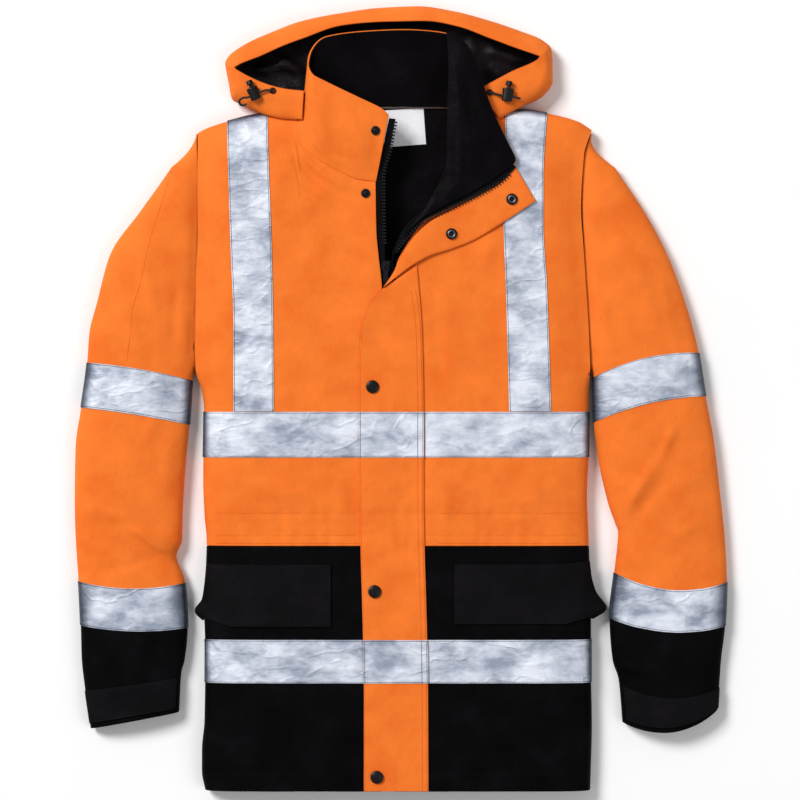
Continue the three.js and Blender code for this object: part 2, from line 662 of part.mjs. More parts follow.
// Height the lapel rests at: the front's top, carried level past the shoulder onto the hood
function lapelBase(x, y) {
  return mix(bodyTop(x, Math.min(y, 250)), 36.5, ease((y - 250) / 80)) + 1.6;
}
function lapelPoint(r, f, lift) {
  const w = Math.hypot(r.rx - r.lx, r.ry - r.ly);
  const x = mix(r.lx, r.rx, f);
  const y = mix(r.ly, r.ry, f);
  const crown = 2.5 * Math.sin(Math.PI * clamp(f, 0, 1)) * clamp(w / 60, 0, 1);
  return new THREE.Vector3(x, y, lapelBase(x, y) + lift + crown);
}
const lapelRows = (lift, insets) =>
  LAPEL.map((r, i) => {
    const w = Math.hypot(r.rx - r.lx, r.ry - r.ly);
    const most = 1 - Math.min(insets[i] / w, 0.55);
    return LAPEL_CUT.map((f) => lapelPoint(r, f * most, lift));
  });
const SHELL_INSET = LAPEL.map((_, i) => (i < 3 ? 4 : 0.5));
const LINING_INSET = LAPEL.map((_, i) => [8, 8, 8, 8, 8, 8, 0][i] || 0);
add("lapel_shell", wall(lapelRows(1.4, SHELL_INSET).slice(2), -LINING, 0, { turn: true }), "orange");
add("lapel_lining", wall(lapelRows(6.5, LINING_INSET).slice(1), -LINING, 0, { turn: true }), "lining");

// Zip: each half runs up the closed fronts, then along its own open edge
const ZIP_RIGHT = [
  { ax: -23.5, ay: -452, bx: -15.3, by: -452, z: 31 },
  { ax: -23.5, ay: -200, bx: -15.3, by: -200, z: 31.3 },
  { ax: -23.5, ay: -145, bx: -15.3, by: -145, z: 29.6 },
  { ax: -23.5, ay: -90, bx: -15.3, by: -90, z: 31 },
  { ax: -22.4, ay: 90, bx: -15.3, by: 90, z: 32 },
  { ax: -21, ay: 125, bx: -15.3, by: 125, z: 31.5 },
  { ax: -23.4, ay: 150, bx: -18.6, by: 150, z: 30.5 },
  { ax: -24.8, ay: 165, bx: -18.6, by: 165, z: 31 },
  { ax: -27.2, ay: 193, bx: -20.2, by: 193, z: 31.5 },
  { ax: -28.3, ay: 252, bx: -20.8, by: 252, z: 32.5 },
  { ax: -20.6, ay: 289, bx: -12.8, by: 288, z: 37 },
  { ax: -14, ay: 322, bx: -6.4, by: 321, z: 40 },
];
const ZIP_LEFT = [
  { ax: -14.7, ay: -452, bx: -8.4, by: -452, az: 31, bz: 31 },
  { ax: -14.7, ay: -200, bx: -8.4, by: -200, az: 31.3, bz: 31.3 },
  { ax: -14.7, ay: -145, bx: -8.4, by: -145, az: 29.6, bz: 29.6 },
  { ax: -14.7, ay: -90, bx: -8.4, by: -90, az: 31, bz: 31 },
  { ax: -14.7, ay: 90, bx: -8.4, by: 90, az: 32, bz: 32 },
  { ax: -14.7, ay: 125, bx: -8.4, by: 125, az: 31.5, bz: 31.5 },
  { ax: -14.2, ay: 146, bx: -9.2, by: 147, az: 31, bz: 32 },
  { ax: -12.4, ay: 157, bx: -10.4, by: 158, az: 32, bz: 34.6 },
  { ax: -8.2, ay: 165.5, bx: -10.4, by: 168.2, az: 34.6, bz: 36.6 },
  { ax: -5.2, ay: 171, bx: -8.6, by: 171.6, az: 36.6, bz: 37.4 },
];
const cross2 = (list, n, pt) => list.map((r) => steps(0, 1, n).map((f) => pt(r, f)));
const zipRight = cross2(ZIP_RIGHT, 1, (r, f) => {
  return new THREE.Vector3(mix(r.ax, r.bx, f), mix(r.ay, r.by, f), r.z);
});
add("zip_right", wall(zipRight, -LINING, 0, { turn: true }), "plastic");
const zipOpen = [0, 1, 2, 3, 4, 5, 5.75].map((k) => {
  const lo = Math.floor(k);
  const t = k - lo;
  const r = {};
  for (const c of ["lx", "ly", "rx", "ry"]) r[c] = mix(LAPEL[lo][c], LAPEL[lo + 1][c], t);
  const w = Math.hypot(r.rx - r.lx, r.ry - r.ly);
  return [1 + 2 / w, 1 - Math.min(9 / w, 0.62)].map((f) => lapelPoint(r, f, 3.3));
});
const zipClosed = cross2(ZIP_LEFT, 1, (r, f) => {
  return new THREE.Vector3(mix(r.ax, r.bx, f), mix(r.ay, r.by, f), mix(r.az, r.bz, f));
});
add("zip_left", wall([...zipClosed, ...zipOpen], -1.2, 0, { turn: true }), "plastic");

// Collar: seam on the neckline and rim, from the right front edge round to the left of the back
const COLLAR = [
  { sx: -28.5, sy: 252, sz: 34, rx: -14, ry: 326, rz: 41 },
  { sx: -47.8, sy: 254.7, sz: 34, rx: -22, ry: 333, rz: 42 },
  { sx: -66.7, sy: 262.3, sz: 34, rx: -53, ry: 348, rz: 43 },
  { sx: -83.7, sy: 270.7, sz: 34, rx: -85, ry: 363.5, rz: 43 },
  { sx: -100.6, sy: 281.6, sz: 33.5, rx: -101, ry: 372, rz: 42 },
  { sx: -111.5, sy: 294, sz: 31.5, rx: -106, ry: 379, rz: 40 },
  { sx: -115.5, sy: 318, sz: 27.5, rx: -108, ry: 387, rz: 38 },
  { sx: -110, sy: 335.5, sz: 18, rx: -106.5, ry: 396, rz: 36 },
  { sx: -100, sy: 338, sz: 9, rx: -102.5, ry: 404.5, rz: 34 },
  { sx: -84, sy: 338, sz: 7, rx: -90, ry: 416, rz: 33 },
  { sx: -50, sy: 338, sz: 6.5, rx: -50, ry: 423, rz: 32 },
  { sx: 0, sy: 338, sz: 6.5, rx: 4, ry: 425.5, rz: 32 },
  { sx: 44, sy: 338, sz: 6.5, rx: 42, ry: 423, rz: 32 },
  { sx: 60, sy: 338, sz: 7, rx: 57, ry: 420, rz: 31 },
];
function collarPoint(j, f) {
  const lo = Math.min(Math.floor(j), COLLAR.length - 2);
  const c = {};
  for (const k of ["sx", "sy", "sz", "rx", "ry", "rz"]) c[k] = mix(COLLAR[lo][k], COLLAR[lo + 1][k], j - lo);
  const bulge = Math.sin(Math.PI * f) * mix(-3, 4, clamp((6 - j) / 2, 0, 1));
  return new THREE.Vector3(mix(c.sx, c.rx, f), mix(c.sy, c.ry, f), mix(c.sz, c.rz, f) + bulge);
}
const collarRows = (cut) => cut.map((f) => COLLAR.map((_, j) => collarPoint(j, f)));
add("collar_shell", wall(collarRows([0, 0.12, 0.4, 0.7, 0.98, 1]), -SHELL, 0), "orange");
const collarIn = -SHELL - GAP;
add("collar_lining", wall(collarRows([0.02, 0.12, 0.4, 0.7, 0.98]), collarIn - LINING, collarIn), "lining");

// Lining of the back where the open neck shows it, and the blank label on it
const backLining = sample([60, 200, 335.8], [-112, 0, 94], (y, x) => [x, y, SHELL + GAP]);
add("back_lining", wall(backLining, 0, LINING, { turn: true }), "lining");
const LABEL = [
  { y: 291, ax: -20, bx: 29, by: 294.5 },
  { y: 333.5, ax: -24, bx: 26, by: 336.5 },
];
const LABEL_Z = 4.2;
const label = sample(LABEL, [0, 1], (r, f) => [mix(r.ax, r.bx, f), mix(r.y, r.by, f), LABEL_Z]);
add("neck_label", wall(label, 0, 0.6, { turn: true }), "label");

// Hood: outline (o), edge of the mouth (m) and outer edge of the shell on the floor (p)
const HOOD = [
  { ox: -116.5, oy: 321, oz: 35, mx: -114, my: 354, mz: 37, px: -120, py: 338 },
  { ox: -133, oy: 321.5, oz: 28, mx: -131, my: 356, mz: 35, px: -137, py: 338.8 },
  { ox: -154, oy: 326, oz: 26, mx: -149, my: 360, mz: 35, px: -155, py: 339.8 },
  { ox: -168, oy: 331, oz: 20, mx: -163, my: 365, mz: 34, px: -170, py: 342 },
  { ox: -184, oy: 339, oz: 15, mx: -176, my: 371, mz: 33, px: -184, py: 346 },
  { ox: -196, oy: 346, oz: 12.5, mx: -185, my: 376, mz: 32, px: -195, py: 350.5 },
  { ox: -200, oy: 365, oz: 12, mx: -190, my: 379, mz: 31, px: -200, py: 366 },
  { ox: -204, oy: 387, oz: 12, mx: -192, my: 381.5, mz: 31, px: -204, py: 387 },
  { ox: -200, oy: 396, oz: 12, mx: -188, my: 384.5, mz: 31, px: -200, py: 396 },
  { ox: -179, oy: 411, oz: 12, mx: -165, my: 393.5, mz: 31, px: -179, py: 411 },
  { ox: -150, oy: 424, oz: 12, mx: -135, my: 407, mz: 31, px: -150, py: 424 },
  { ox: -115, oy: 437, oz: 12, mx: -109, my: 416.5, mz: 31, px: -115, py: 437 },
  { ox: -67, oy: 446.5, oz: 12, mx: -68, my: 430, mz: 31, px: -67, py: 446.5 },
  { ox: -26, oy: 452, oz: 12, mx: -24, my: 434, mz: 31, px: -26, py: 452 },
  { ox: 20, oy: 454, oz: 12, mx: 27, my: 435, mz: 31, px: 20, py: 454 },
  { ox: 62, oy: 448, oz: 12, mx: 66, my: 428.5, mz: 31, px: 62, py: 448 },
  { ox: 100, oy: 438, oz: 12, mx: 100, my: 416, mz: 31, px: 100, py: 438 },
  { ox: 136, oy: 426, oz: 12, mx: 132, my: 404, mz: 31, px: 136, py: 426 },
  { ox: 164, oy: 414.5, oz: 12, mx: 154, my: 396.5, mz: 31, px: 164, py: 414.5 },
  { ox: 174.5, oy: 403, oz: 12, mx: 160, my: 394, mz: 31, px: 174.5, py: 403 },
  { ox: 175.5, oy: 385, oz: 12, mx: 158, my: 391, mz: 31, px: 175.5, py: 385 },
  { ox: 175.5, oy: 366, oz: 14, mx: 149, my: 386, mz: 31.5, px: 175.5, py: 364 },
  { ox: 164, oy: 352.5, oz: 20, mx: 130, my: 378, mz: 32, px: 165, py: 347 },
  { ox: 148, oy: 341.5, oz: 24, mx: 112, my: 368.5, mz: 33, px: 151.5, py: 341 },
  { ox: 134, oy: 333.5, oz: 27, mx: 100, my: 362, mz: 33.5, px: 136, py: 339 },
  { ox: 113, oy: 322, oz: 30, mx: 89, my: 356, mz: 34, px: 118, py: 338 },
];
// Rise of the brim from its outline: distance in, share of the whole rise
const BRIM = [
  { d: 0, rise: 0 },
  { d: 1.5, rise: 0.34 },
  { d: 5, rise: 0.64 },
  { d: 11, rise: 0.86 },
  { d: 24, rise: 1 },
];
function brimPoint(h, f) {
  const long = Math.hypot(h.mx - h.ox, h.my - h.oy);
  const rise = read(BRIM, "d", "rise", f * long) / read(BRIM, "d", "rise", long);
  return new THREE.Vector3(mix(h.ox, h.mx, f), mix(h.oy, h.my, f), mix(h.oz, h.mz, rise));
}
const brimRows = [0, 1.5, 5, 11, "m"].map((d) =>
  HOOD.map((h) => {
    const long = Math.hypot(h.mx - h.ox, h.my - h.oy);
    return brimPoint(h, d === "m" ? 1 : Math.min(d / long, 0.12 + d / 16));
  }),
);
add("hood_brim", wall(brimRows, -SHELL, 0), "orange");
// Floor outline of the shell or, moved in, of its lining
function hoodOutline(inset) {
  return HOOD.map((h, j) => {
    const before = HOOD[Math.max(j - 1, 0)];
    const after = HOOD[Math.min(j + 1, HOOD.length - 1)];
    const tx = after.px - before.px;
    const ty = after.py - before.py;
    const long = Math.hypot(tx, ty);
    return { x: h.px + (inset * ty) / long, y: h.py - (inset * tx) / long };
  });
}
const neckAt = (j, up) => {
  const t = j / (HOOD.length - 1);
  return { x: mix(-62, 58, t), y: 336.5 + up + 5 * Math.sin(Math.PI * t) };
};
// A row of the hood's floor: distance in from the outline, or share of the way from the neck
function hoodRow(outline, up, z, d, share) {
  return outline.map((o, j) => {
    const n = neckAt(j, up);
    const f = share ?? 1 - d / Math.hypot(o.x - n.x, o.y - n.y);
    return new THREE.Vector3(mix(n.x, o.x, f), mix(n.y, o.y, f), z);
  });
}
const FLOOR = [
  { d: 12, z: 0 },
  { d: 4, z: 2 },
  { d: 0.9, z: 5.5 },
  { d: 0, z: 9 },
];
const shellOutline = hoodOutline(0);
const shellRows = [
  ...[0, 0.5].map((f) => hoodRow(shellOutline, 0, 0, 0, f)),
  ...FLOOR.map((r) => hoodRow(shellOutline, 0, r.z, r.d)),
];
add("hood_shell", wall(shellRows, -SHELL, 0), "orange");
const LINING_FLOOR = [
  { d: 11, z: 2.4 },
  { d: 3.4, z: 4.6 },
  { d: 0.6, z: 8 },
  { d: 0, z: 12 },
];
const liningOutline = hoodOutline(4);
const liningRows = [
  ...[0.02, 0.5].map((f) => hoodRow(liningOutline, 4, 2.4, 0, f)),
  ...LINING_FLOOR.map((r) => hoodRow(liningOutline, 4, r.z, r.d)),
  ...[0.45, 0.75, 0.97].map((f) =>
    HOOD.map((h) => {
      const p = brimPoint(h, f);
      p.z -= SHELL + 1.7;
      return p;
    }),
  ),
];
add("hood_lining", wall(liningRows, -LINING, 0), "lining");

// Pocket flaps on the lower fronts: the outer edge by row, and how high it stands
const POCKET_RIGHT = [
  { y: -192, x: -224, z: 19, low: -192 },
  { y: -216, x: -226.5, z: 17, low: -216 },
  { y: -233, x: -229.5, z: 15, low: -233 },
  { y: -246, x: -238.5, z: 13.5, low: -250 },
  { y: -256, x: -229.5, z: 14, low: -264 },
];
const POCKET_LEFT = [
  { y: -188.5, x: 217, z: 19, low: -191.5 },
  { y: -206, x: 219, z: 17, low: -208 },
  { y: -224, x: 224.5, z: 15, low: -226 },
  { y: -243, x: 237.5, z: 13.5, low: -246 },
  { y: -254, x: 222, z: 14, low: -261 },
];
function pocketFlap(hand, table, inner) {
  return table.map((r) => {
    const side = read(hand < 0 ? SIDE_RIGHT : SIDE_LEFT, "y", "x", r.low);
    const far = Math.abs(inner - side);
    const qs = [far, (far + 60) / 2, 60, 30, 14, 7];
    const row = qs.map((q) => {
      const y = mix(r.y, r.low, clamp((q - 7) / 24, 0, 1));
      const p = new THREE.Vector3(...frontPoint(hand, q, y));
      p.z += 0.35;
      return p;
    });
    return [...row, new THREE.Vector3(r.x, r.y, r.z)];
  });
}
add("pocket_flap_right", wall(pocketFlap(-1, POCKET_RIGHT, -81), GAP, GAP + SHELL, { turn: true }), "black");
add("pocket_flap_left", wall(pocketFlap(1, POCKET_LEFT, 61), GAP, GAP + SHELL), "black");

// Hardware turned about an axis that stands on a surface
function turned(profile, sides) {
  const pts = profile.map((p) => new THREE.Vector2(p.r, p.h));
  const g = new THREE.LatheGeometry(pts, sides);
  g.rotateX(Math.PI / 2);
  return g;
}
function stand(name, geometry, colour, at, normal, lift) {
  const mesh = add(name, geometry, colour);
  const up = normal.clone().normalize();
  mesh.quaternion.setFromUnitVectors(new THREE.Vector3(0, 0, 1), up);
  mesh.position.copy(at).addScaledVector(up, lift);
}
const CAP = [
  { r: 0, h: 0 },
  { r: SNAP_D / 2, h: 0 },
  { r: SNAP_D / 2, h: 1.2 },
  { r: SNAP_D / 2 - 1.6, h: 2.5 },
  { r: 3, h: 3 },
  { r: 0, h: 3.1 },
];
const STUD = [
  { r: 0, h: 0 },
  { r: STUD_D / 2, h: 0 },
  { r: STUD_D / 2, h: 1 },
  { r: 3.6, h: 1.3 },
  { r: 2.2, h: 1.1 },
  { r: 2.4, h: 3 },
  { r: 0, h: 3.3 },
];
const SOCKET = [
  { r: 0, h: 0 },
  { r: STUD_D / 2 + 1.3, h: 0 },
  { r: STUD_D / 2 + 1.3, h: 1.2 },
  { r: 5, h: 2 },
  { r: 2.9, h: 2 },
  { r: 2.6, h: 0.9 },
  { r: 0, h: 0.9 },
];
const EYELET = [
  { r: 1.75, h: 0 },
  { r: 3.7, h: 0 },
  { r: 3.5, h: 1 },
  { r: 2.6, h: 1.5 },
  { r: 1.75, h: 1.3 },
  { r: 1.75, h: 0 },
];
const UP = new THREE.Vector3(0, 0, 1);
const SNAPS = [
  { name: "snap_cap_chest", x: -33, y: 13 },
  { name: "snap_cap_pocket", x: -30.5, y: -223 },
  { name: "snap_cap_hem", x: -28, y: -437 },
];
for (const k of SNAPS) {
  const at = new THREE.Vector3(k.x, k.y, bodyTop(k.x, k.y) + FLAP_Z + SHELL);
  stand(k.name, turned(CAP, 20), "metal", at, UP, 0.5);
}
stand("snap_stud_front", turned(STUD, 16), "metal", new THREE.Vector3(-41, 236, bodyTop(-41, 236)), UP, 0.4);
const onCollar = collarPoint(0.95, 0.68);
stand("snap_stud_collar", turned(STUD, 16), "metal", onCollar, new THREE.Vector3(0.05, -0.02, 1), 0.6);
const SOCKETS = [
  { name: "snap_socket_low", x: 58, y: 189, dz: 1.4 },
  { name: "snap_socket_high", x: 127.5, y: 229, dz: 2.1 },
];
for (const k of SOCKETS) {
  const at = new THREE.Vector3(k.x, k.y, frontTop(k.x, k.y) + k.dz + SHELL);
  stand(k.name, turned(SOCKET, 16), "metal", at, UP, 0.5);
}

// A closed three.js geometry as a solid to cut and join
function block(geometry, x, y, z) {
  const bare = geometry.translate(x, y, z);
  bare.deleteAttribute("normal");
  bare.deleteAttribute("uv");
  const merged = mergeVertices(bare, 1e-4);
  const triVerts = new Uint32Array(merged.index.array);
  const vertProperties = merged.attributes.position.array;
  return new Manifold(new wasm.Mesh({ numProp: 3, vertProperties, triVerts }));
}
const box = (wide, long, high, y, z) => block(new THREE.BoxGeometry(wide, long, high), 0, y, z);
// Round bar across the jacket, and one along it with a radius at its low and high end
const barAcross = (r, long, sides, y, z) =>
  block(new THREE.CylinderGeometry(r, r, long, sides).rotateZ(Math.PI / 2), 0, y, z);
const barAlong = (low, high, long, sides, y) =>
  block(new THREE.CylinderGeometry(high, low, long, sides), 0, y, 0);
function solid(name, manifold, colour, at, turn = 0) {
  const made = manifold.getMesh();
  const g = new THREE.BufferGeometry();
  g.setAttribute("position", new THREE.BufferAttribute(new Float32Array(made.vertProperties), 3));
  g.setIndex(Array.from(made.triVerts));
  g.computeVertexNormals();
  const mesh = add(name, g, colour);
  mesh.rotation.z = turn;
  mesh.position.set(at.x, at.y, at.z);
}

// Zip slider at the foot of the opening, with its hinged pull tab
const SLIDER = { x: -17.8, y: 152, z: 33.4, wide: 9, long: 12, high: 3 };
const BRIDGE = { wide: 2.2, long: 6, high: 4, z: 2.6, pinZ: 3.1, hole: 1.1 };
const PULL = { wide: 5.4, long: 19.5, thick: 1.2, y: -8.75, slotWide: 3, slotLong: 5.6, slotY: -1 };
const PIN = { r: 0.75, long: 4.6 };
const sliderMade = box(SLIDER.wide, SLIDER.long, SLIDER.high, 0, 0)
  .add(box(BRIDGE.wide, BRIDGE.long, BRIDGE.high, 0, BRIDGE.z))
  .subtract(barAcross(BRIDGE.hole, 6, 12, 0, BRIDGE.pinZ));
const pullMade = box(PULL.wide, PULL.long, PULL.thick, PULL.y, 0)
  .subtract(box(PULL.slotWide, PULL.slotLong, 3, PULL.slotY, 0))
  .add(barAcross(PIN.r, PIN.long, 10, 0, 0));
solid("zip_slider", sliderMade, "metal", SLIDER);
solid("zip_pull", pullMade, "metal", { x: SLIDER.x, y: SLIDER.y, z: SLIDER.z + BRIDGE.pinZ });

// Cord locks on the hood: body with a cord hole, and the sprung plunger
const LOCKS = [
  { side: "right", x: -169.5, y: 350.5, z: 38.6, turn: 22, eyeX: -148, eyeY: 354, eyeZ: 35.4 },
  { side: "left", x: 122.5, y: 349, z: 37.6, turn: -8, eyeX: 102, eyeY: 352, eyeZ: 34.4 },
];
const LOCK = { low: 3.8, high: 4.2, long: 15, flat: 1.6, boreR: 2.6, boreLong: 6.5, boreY: 5.5, holeY: -1.5 };
const PLUNGER = {
  stemR: 2.2, stemLong: 6.6, stemY: 9,
  headY: 13.6, headLong: 5, headLow: 4.2, headHigh: 3.4,
};
const lockMade = barAlong(LOCK.low, LOCK.high, LOCK.long, 16, 0)
  .scale([LOCK.flat, 1, 1])
  .subtract(barAcross(CORD_D / 2 + 0.4, 20, 12, LOCK.holeY, 0))
  .subtract(barAlong(LOCK.boreR, LOCK.boreR, LOCK.boreLong, 14, LOCK.boreY));
const plungerMade = barAlong(PLUNGER.stemR, PLUNGER.stemR, PLUNGER.stemLong, 12, PLUNGER.stemY)
  .add(barAlong(PLUNGER.headLow, PLUNGER.headHigh, PLUNGER.headLong, 16, PLUNGER.headY));
for (const k of LOCKS) {
  const turn = THREE.MathUtils.degToRad(k.turn);
  solid("cord_lock_" + k.side, lockMade, "plastic", k, turn);
  solid("cord_plunger_" + k.side, plungerMade, "plastic", k, turn);
  stand("eyelet_" + k.side, turned(EYELET, 16), "metal", new THREE.Vector3(k.eyeX, k.eyeY, k.eyeZ), UP, 0);
}

// Drawcords: out of the eyelet, through the lock, and the end beyond it
const CORDS = [
  { side: "right", x: -148, y: 354, z: 35.6 },
  { side: "right", x: -148.1, y: 354, z: 37.4 },
  { side: "right", x: -150.6, y: 354.2, z: 39 },
  { side: "right", x: -156, y: 354.2, z: 38.8 },
  { side: "right", x: -161, y: 352.6, z: 38.6 },
  { side: "right", x: -169, y: 349.1, z: 38.6 },
  { side: "right", x: -177, y: 345.9, z: 38.6 },
  { side: "right", x: -182.5, y: 345.4, z: 38.4 },
  { side: "right", x: -186.5, y: 342, z: 37.6 },
  { side: "right", x: -185, y: 337.8, z: 36.8 },
  { side: "right", x: -180.5, y: 337.2, z: 36.8 },
  { side: "right", x: -177.5, y: 339.4, z: 37 },
  { side: "left", x: 102, y: 352, z: 34.6 },
  { side: "left", x: 102.1, y: 352, z: 36.6 },
  { side: "left", x: 104.4, y: 351.6, z: 38 },
  { side: "left", x: 108, y: 350.4, z: 38 },
  { side: "left", x: 112, y: 349.2, z: 37.6 },
  { side: "left", x: 122.3, y: 347.5, z: 37.6 },
  { side: "left", x: 132, y: 346.1, z: 37.6 },
  { side: "left", x: 138, y: 344.6, z: 36.8 },
];
for (const side of ["right", "left"]) {
  const pts = CORDS.filter((c) => c.side === side).map((c) => new THREE.Vector3(c.x, c.y, c.z));
  const curve = new THREE.CatmullRomCurve3(pts, false, "centripetal");
  const sides = 8;
  const rings = Math.round(pts.length * 1.8);
  const frames = curve.computeFrenetFrames(rings, false);
  const rows = steps(0, 1, rings).map((t, i) => {
    const c = curve.getPointAt(t);
    return Array.from({ length: sides }, (_, k) => {
      const a = (2 * Math.PI * k) / sides;
      return c
        .clone()
        .addScaledVector(frames.normals[i], (Math.cos(a) * CORD_D) / 2)
        .addScaledVector(frames.binormals[i], (Math.sin(a) * CORD_D) / 2);
    });
  });
  add("cord_" + side, tube(rows), "black");
}
// Closed tube from rings of points
function tube(rows) {
  const n = rows[0].length;
  const verts = rows.flat().flatMap((p) => [p.x, p.y, p.z]);
  const centre = (row) => row.reduce((a, p) => a.add(p), new THREE.Vector3()).divideScalar(n);
  const first = verts.length / 3;
  for (const row of [rows[0], rows[rows.length - 1]]) {
    const c = centre(row);
    verts.push(c.x, c.y, c.z);
  }
  const index = [];
  for (let i = 0; i < rows.length - 1; i++) {
    for (let k = 0; k < n; k++) {
      const a = i * n + k;
      const b = i * n + ((k + 1) % n);
      index.push(a, b, b + n, a, b + n, a + n);
    }
  }
  const last = (rows.length - 1) * n;
  for (let k = 0; k < n; k++) {
    index.push(first, (k + 1) % n, k);
    index.push(first + 1, last + k, last + ((k + 1) % n));
  }
  const g = new THREE.BufferGeometry();
  g.setAttribute("position", new THREE.Float32BufferAttribute(verts, 3));
  g.setIndex(index);
  g.computeVertexNormals();
  return g;
}

export default group;
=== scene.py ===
"""Hi-vis work jacket laid flat on its back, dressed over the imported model.

Sizes are in millimetres until a mesh is made. X runs across the jacket, Y from the hem to the hood and Z up
from the floor. "right" is the wearer's right, on the side of negative X, and a hand of -1 stands for it.
"""

import math

import bmesh
import bpy
import numpy as np
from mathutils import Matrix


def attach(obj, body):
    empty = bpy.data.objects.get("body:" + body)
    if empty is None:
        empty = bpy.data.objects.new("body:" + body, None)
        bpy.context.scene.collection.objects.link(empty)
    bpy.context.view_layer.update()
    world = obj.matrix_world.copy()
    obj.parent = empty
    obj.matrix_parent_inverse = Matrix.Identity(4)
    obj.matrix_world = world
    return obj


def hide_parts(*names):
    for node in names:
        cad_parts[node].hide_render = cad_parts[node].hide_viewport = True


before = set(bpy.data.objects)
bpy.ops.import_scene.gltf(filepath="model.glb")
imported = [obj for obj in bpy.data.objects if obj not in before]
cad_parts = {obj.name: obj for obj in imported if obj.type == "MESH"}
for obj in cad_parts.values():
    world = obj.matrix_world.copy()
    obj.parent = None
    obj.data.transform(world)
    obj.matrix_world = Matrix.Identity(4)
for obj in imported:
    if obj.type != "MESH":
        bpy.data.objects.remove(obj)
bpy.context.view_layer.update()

MM = 0.001
FULL_TURN = 2 * math.pi
SHELL = 2.0  # outer cloth with its backing
LINING = 1.5  # lining cloth
TAPE = 0.7  # reflective tape
GAP = 0.3  # air between two pieces
LOFT = 31.5  # height of the fronts' flat part
TUCK = 62.0  # how far each front wraps under the body
REST = 1.0  # rise of the underside over a tape
FLAP_Z = 0.5  # air between the fronts and the storm flap
SEAM_Y = -171.0  # seam between the orange and the black panels
CORD_D = 2.6  # drawcord diameter
CELL = 3.4  # size of a mesh cell on the large panels
RIGHT, LEFT = -1, 1
BANDS = ((-68.5, -16.0), (-329.0, -279.0))  # chest and hem tapes, low and high edge

NECK_RIGHT, NECK_LEFT = -122, 97  # inner ends of the two shoulder seams
FLAT_Q = 60  # way in from the side where a front has reached its full height
FLOOR_Q, FLOOR_D = -18, 12  # where its wrap lies flat under the body, and how far in that is
GATHERED = (-132.8, -158.2)  # stitched lines that draw the waist in
HEM_LINE = -434.0  # stitched line over the hem
FIRST_GUESS = 300.0  # height from which the shoulder line is searched for


def rows(names, text):
    """A short table: its columns' names, and its rows parted by commas. Each column is kept as an array."""
    values = [[float(cell) for cell in row.split()] for row in text.split(",")]
    return dict(zip(names.split(), np.array(values).T))


ROUND = rows("q d z", """
60 60 31.5, 30 30 29.5, 14 14 26.3, 6 5 22, 2 1.3 17, 0 0 11.5, -6 0.9 6, -10 4 2, -18 12 0
""")
VALLEY = rows("d z", """
0 23.5, 8 25, 20 28, 40 31, 60 31.5
""")
SIDE_RIGHT = rows("y x", """
-454 -227, -432 -231, -408 -231, -373 -228, -291 -227, -256 -228, -199 -226.5, -166 -225.5, -135 -228,
-95 -229.5, -15 -228.5, 8 -231, 30 -237, 55 -238, 131 -237, 193 -235, 312 -235
""")
SIDE_LEFT = rows("y x", """
-454 219, -375 221, -319 220, -253 220, -184 218, -157 217, -110 215.5, -68 217, 8 217.5, 30 218, 84 216,
131 213, 171 210.5, 219 207.5, 281 211, 312 221
""")
TOP_RIGHT = rows("x y", """
-236 307, -227 312, -200 321, -164 329, -123 332, -121 330, -117 298, -105 283, -86 271, -68 262, -48 254,
-20 250
""")
TOP_LEFT = rows("x y", """
36 333, 97 334, 141 334, 169 330, 204 321, 222 310
""")
ROLL = rows("y x", """
-460 -8, 100 -8, 150 -6, 177 6, 215 32, 240 44, 256 53, 336 57
""")
EDGE_RIGHT = rows("y x", """
-460 -24, 90 -24, 125 -22, 165 -26, 193 -28.5, 252 -29.5
""")
CURL = rows("d z", """
0 8.4, 0.9 5.5, 4 2, 12 0
""")
SLEEVE_RIGHT = rows("s ox oy ix iy h", """
0 -242.5 306.5 -237.5 31 24, 1 -266 268 -239 29.5 26, 2 -302 217 -240 27.5 28, 3 -337 167 -241 25.5 29,
4 -352 113 -241.5 24 29, 5 -361.5 75 -241.5 22.5 29, 6 -364 41 -242 20 29, 7 -371 -11 -245.5 -31 29,
8 -377.5 -58 -249.5 -75 29, 9 -378.5 -121 -253 -128 28, 10 -377.5 -160 -254 -164 27,
11 -376 -185 -260.5 -184 26, 12 -374 -212 -250.5 -214 27, 13 -371.5 -263 -247.5 -266 27,
14 -370.5 -301 -251 -303 26, 15 -367 -334 -255 -320 25, 16 -360 -383 -257.5 -364 25
""")
SLEEVE_LEFT = rows("s ox oy ix iy h", """
0 224 306 218.8 31.5 24, 1 248 267 219.5 30.5 26, 2 283 214 220.2 29 28, 3 309 165 220.6 27.5 29,
4 329 112 220.8 26.5 29, 5 339 78 221 25 29, 6 345 52 221.5 23 29, 7 353 2 223 -28 29,
8 362 -46 228.5 -72 29, 9 369.5 -108 241 -126 28, 10 373 -139 247.5 -144 27, 11 375.5 -165 251.5 -158 26,
12 377.5 -213 247 -202 27, 13 375.5 -264 241.5 -255 27, 14 371 -303 245 -303 26, 15 369 -331 252 -326 25,
16 367 -361 256.5 -376 25
""")
BOW = rows("s right left", """
0 0 0, 3 0 0, 5 -2 -6, 6 -3 -9, 7 -2 -7, 8 0 -3, 10 1 2, 11 3 7, 12 7 14, 13 5 11, 14 2 12, 15 0 14, 16 0 18
""")
FLAP_LEFT = rows("y x", """
-460 -43.4, -331 -43.4, -276 -44.4, -68.5 -48.4, -17 -48.4
""")
FLAP_RIGHT = rows("y x", """
-460 31.8, -276 30.6, -17 26.8
""")
SHOULDER_TAPES_RIGHT = rows("y a b", """
-15.4 -193.5 -147, 80 -193.5 -147.5, 180 -197 -149.5, 281 -200 -153, 331 -201.5 -154.5
""")
SHOULDER_TAPES_LEFT = rows("y a b", """
-15.4 124.5 173, 131 120.5 168, 201 118 164, 255 119 164, 334 120.5 169
""")
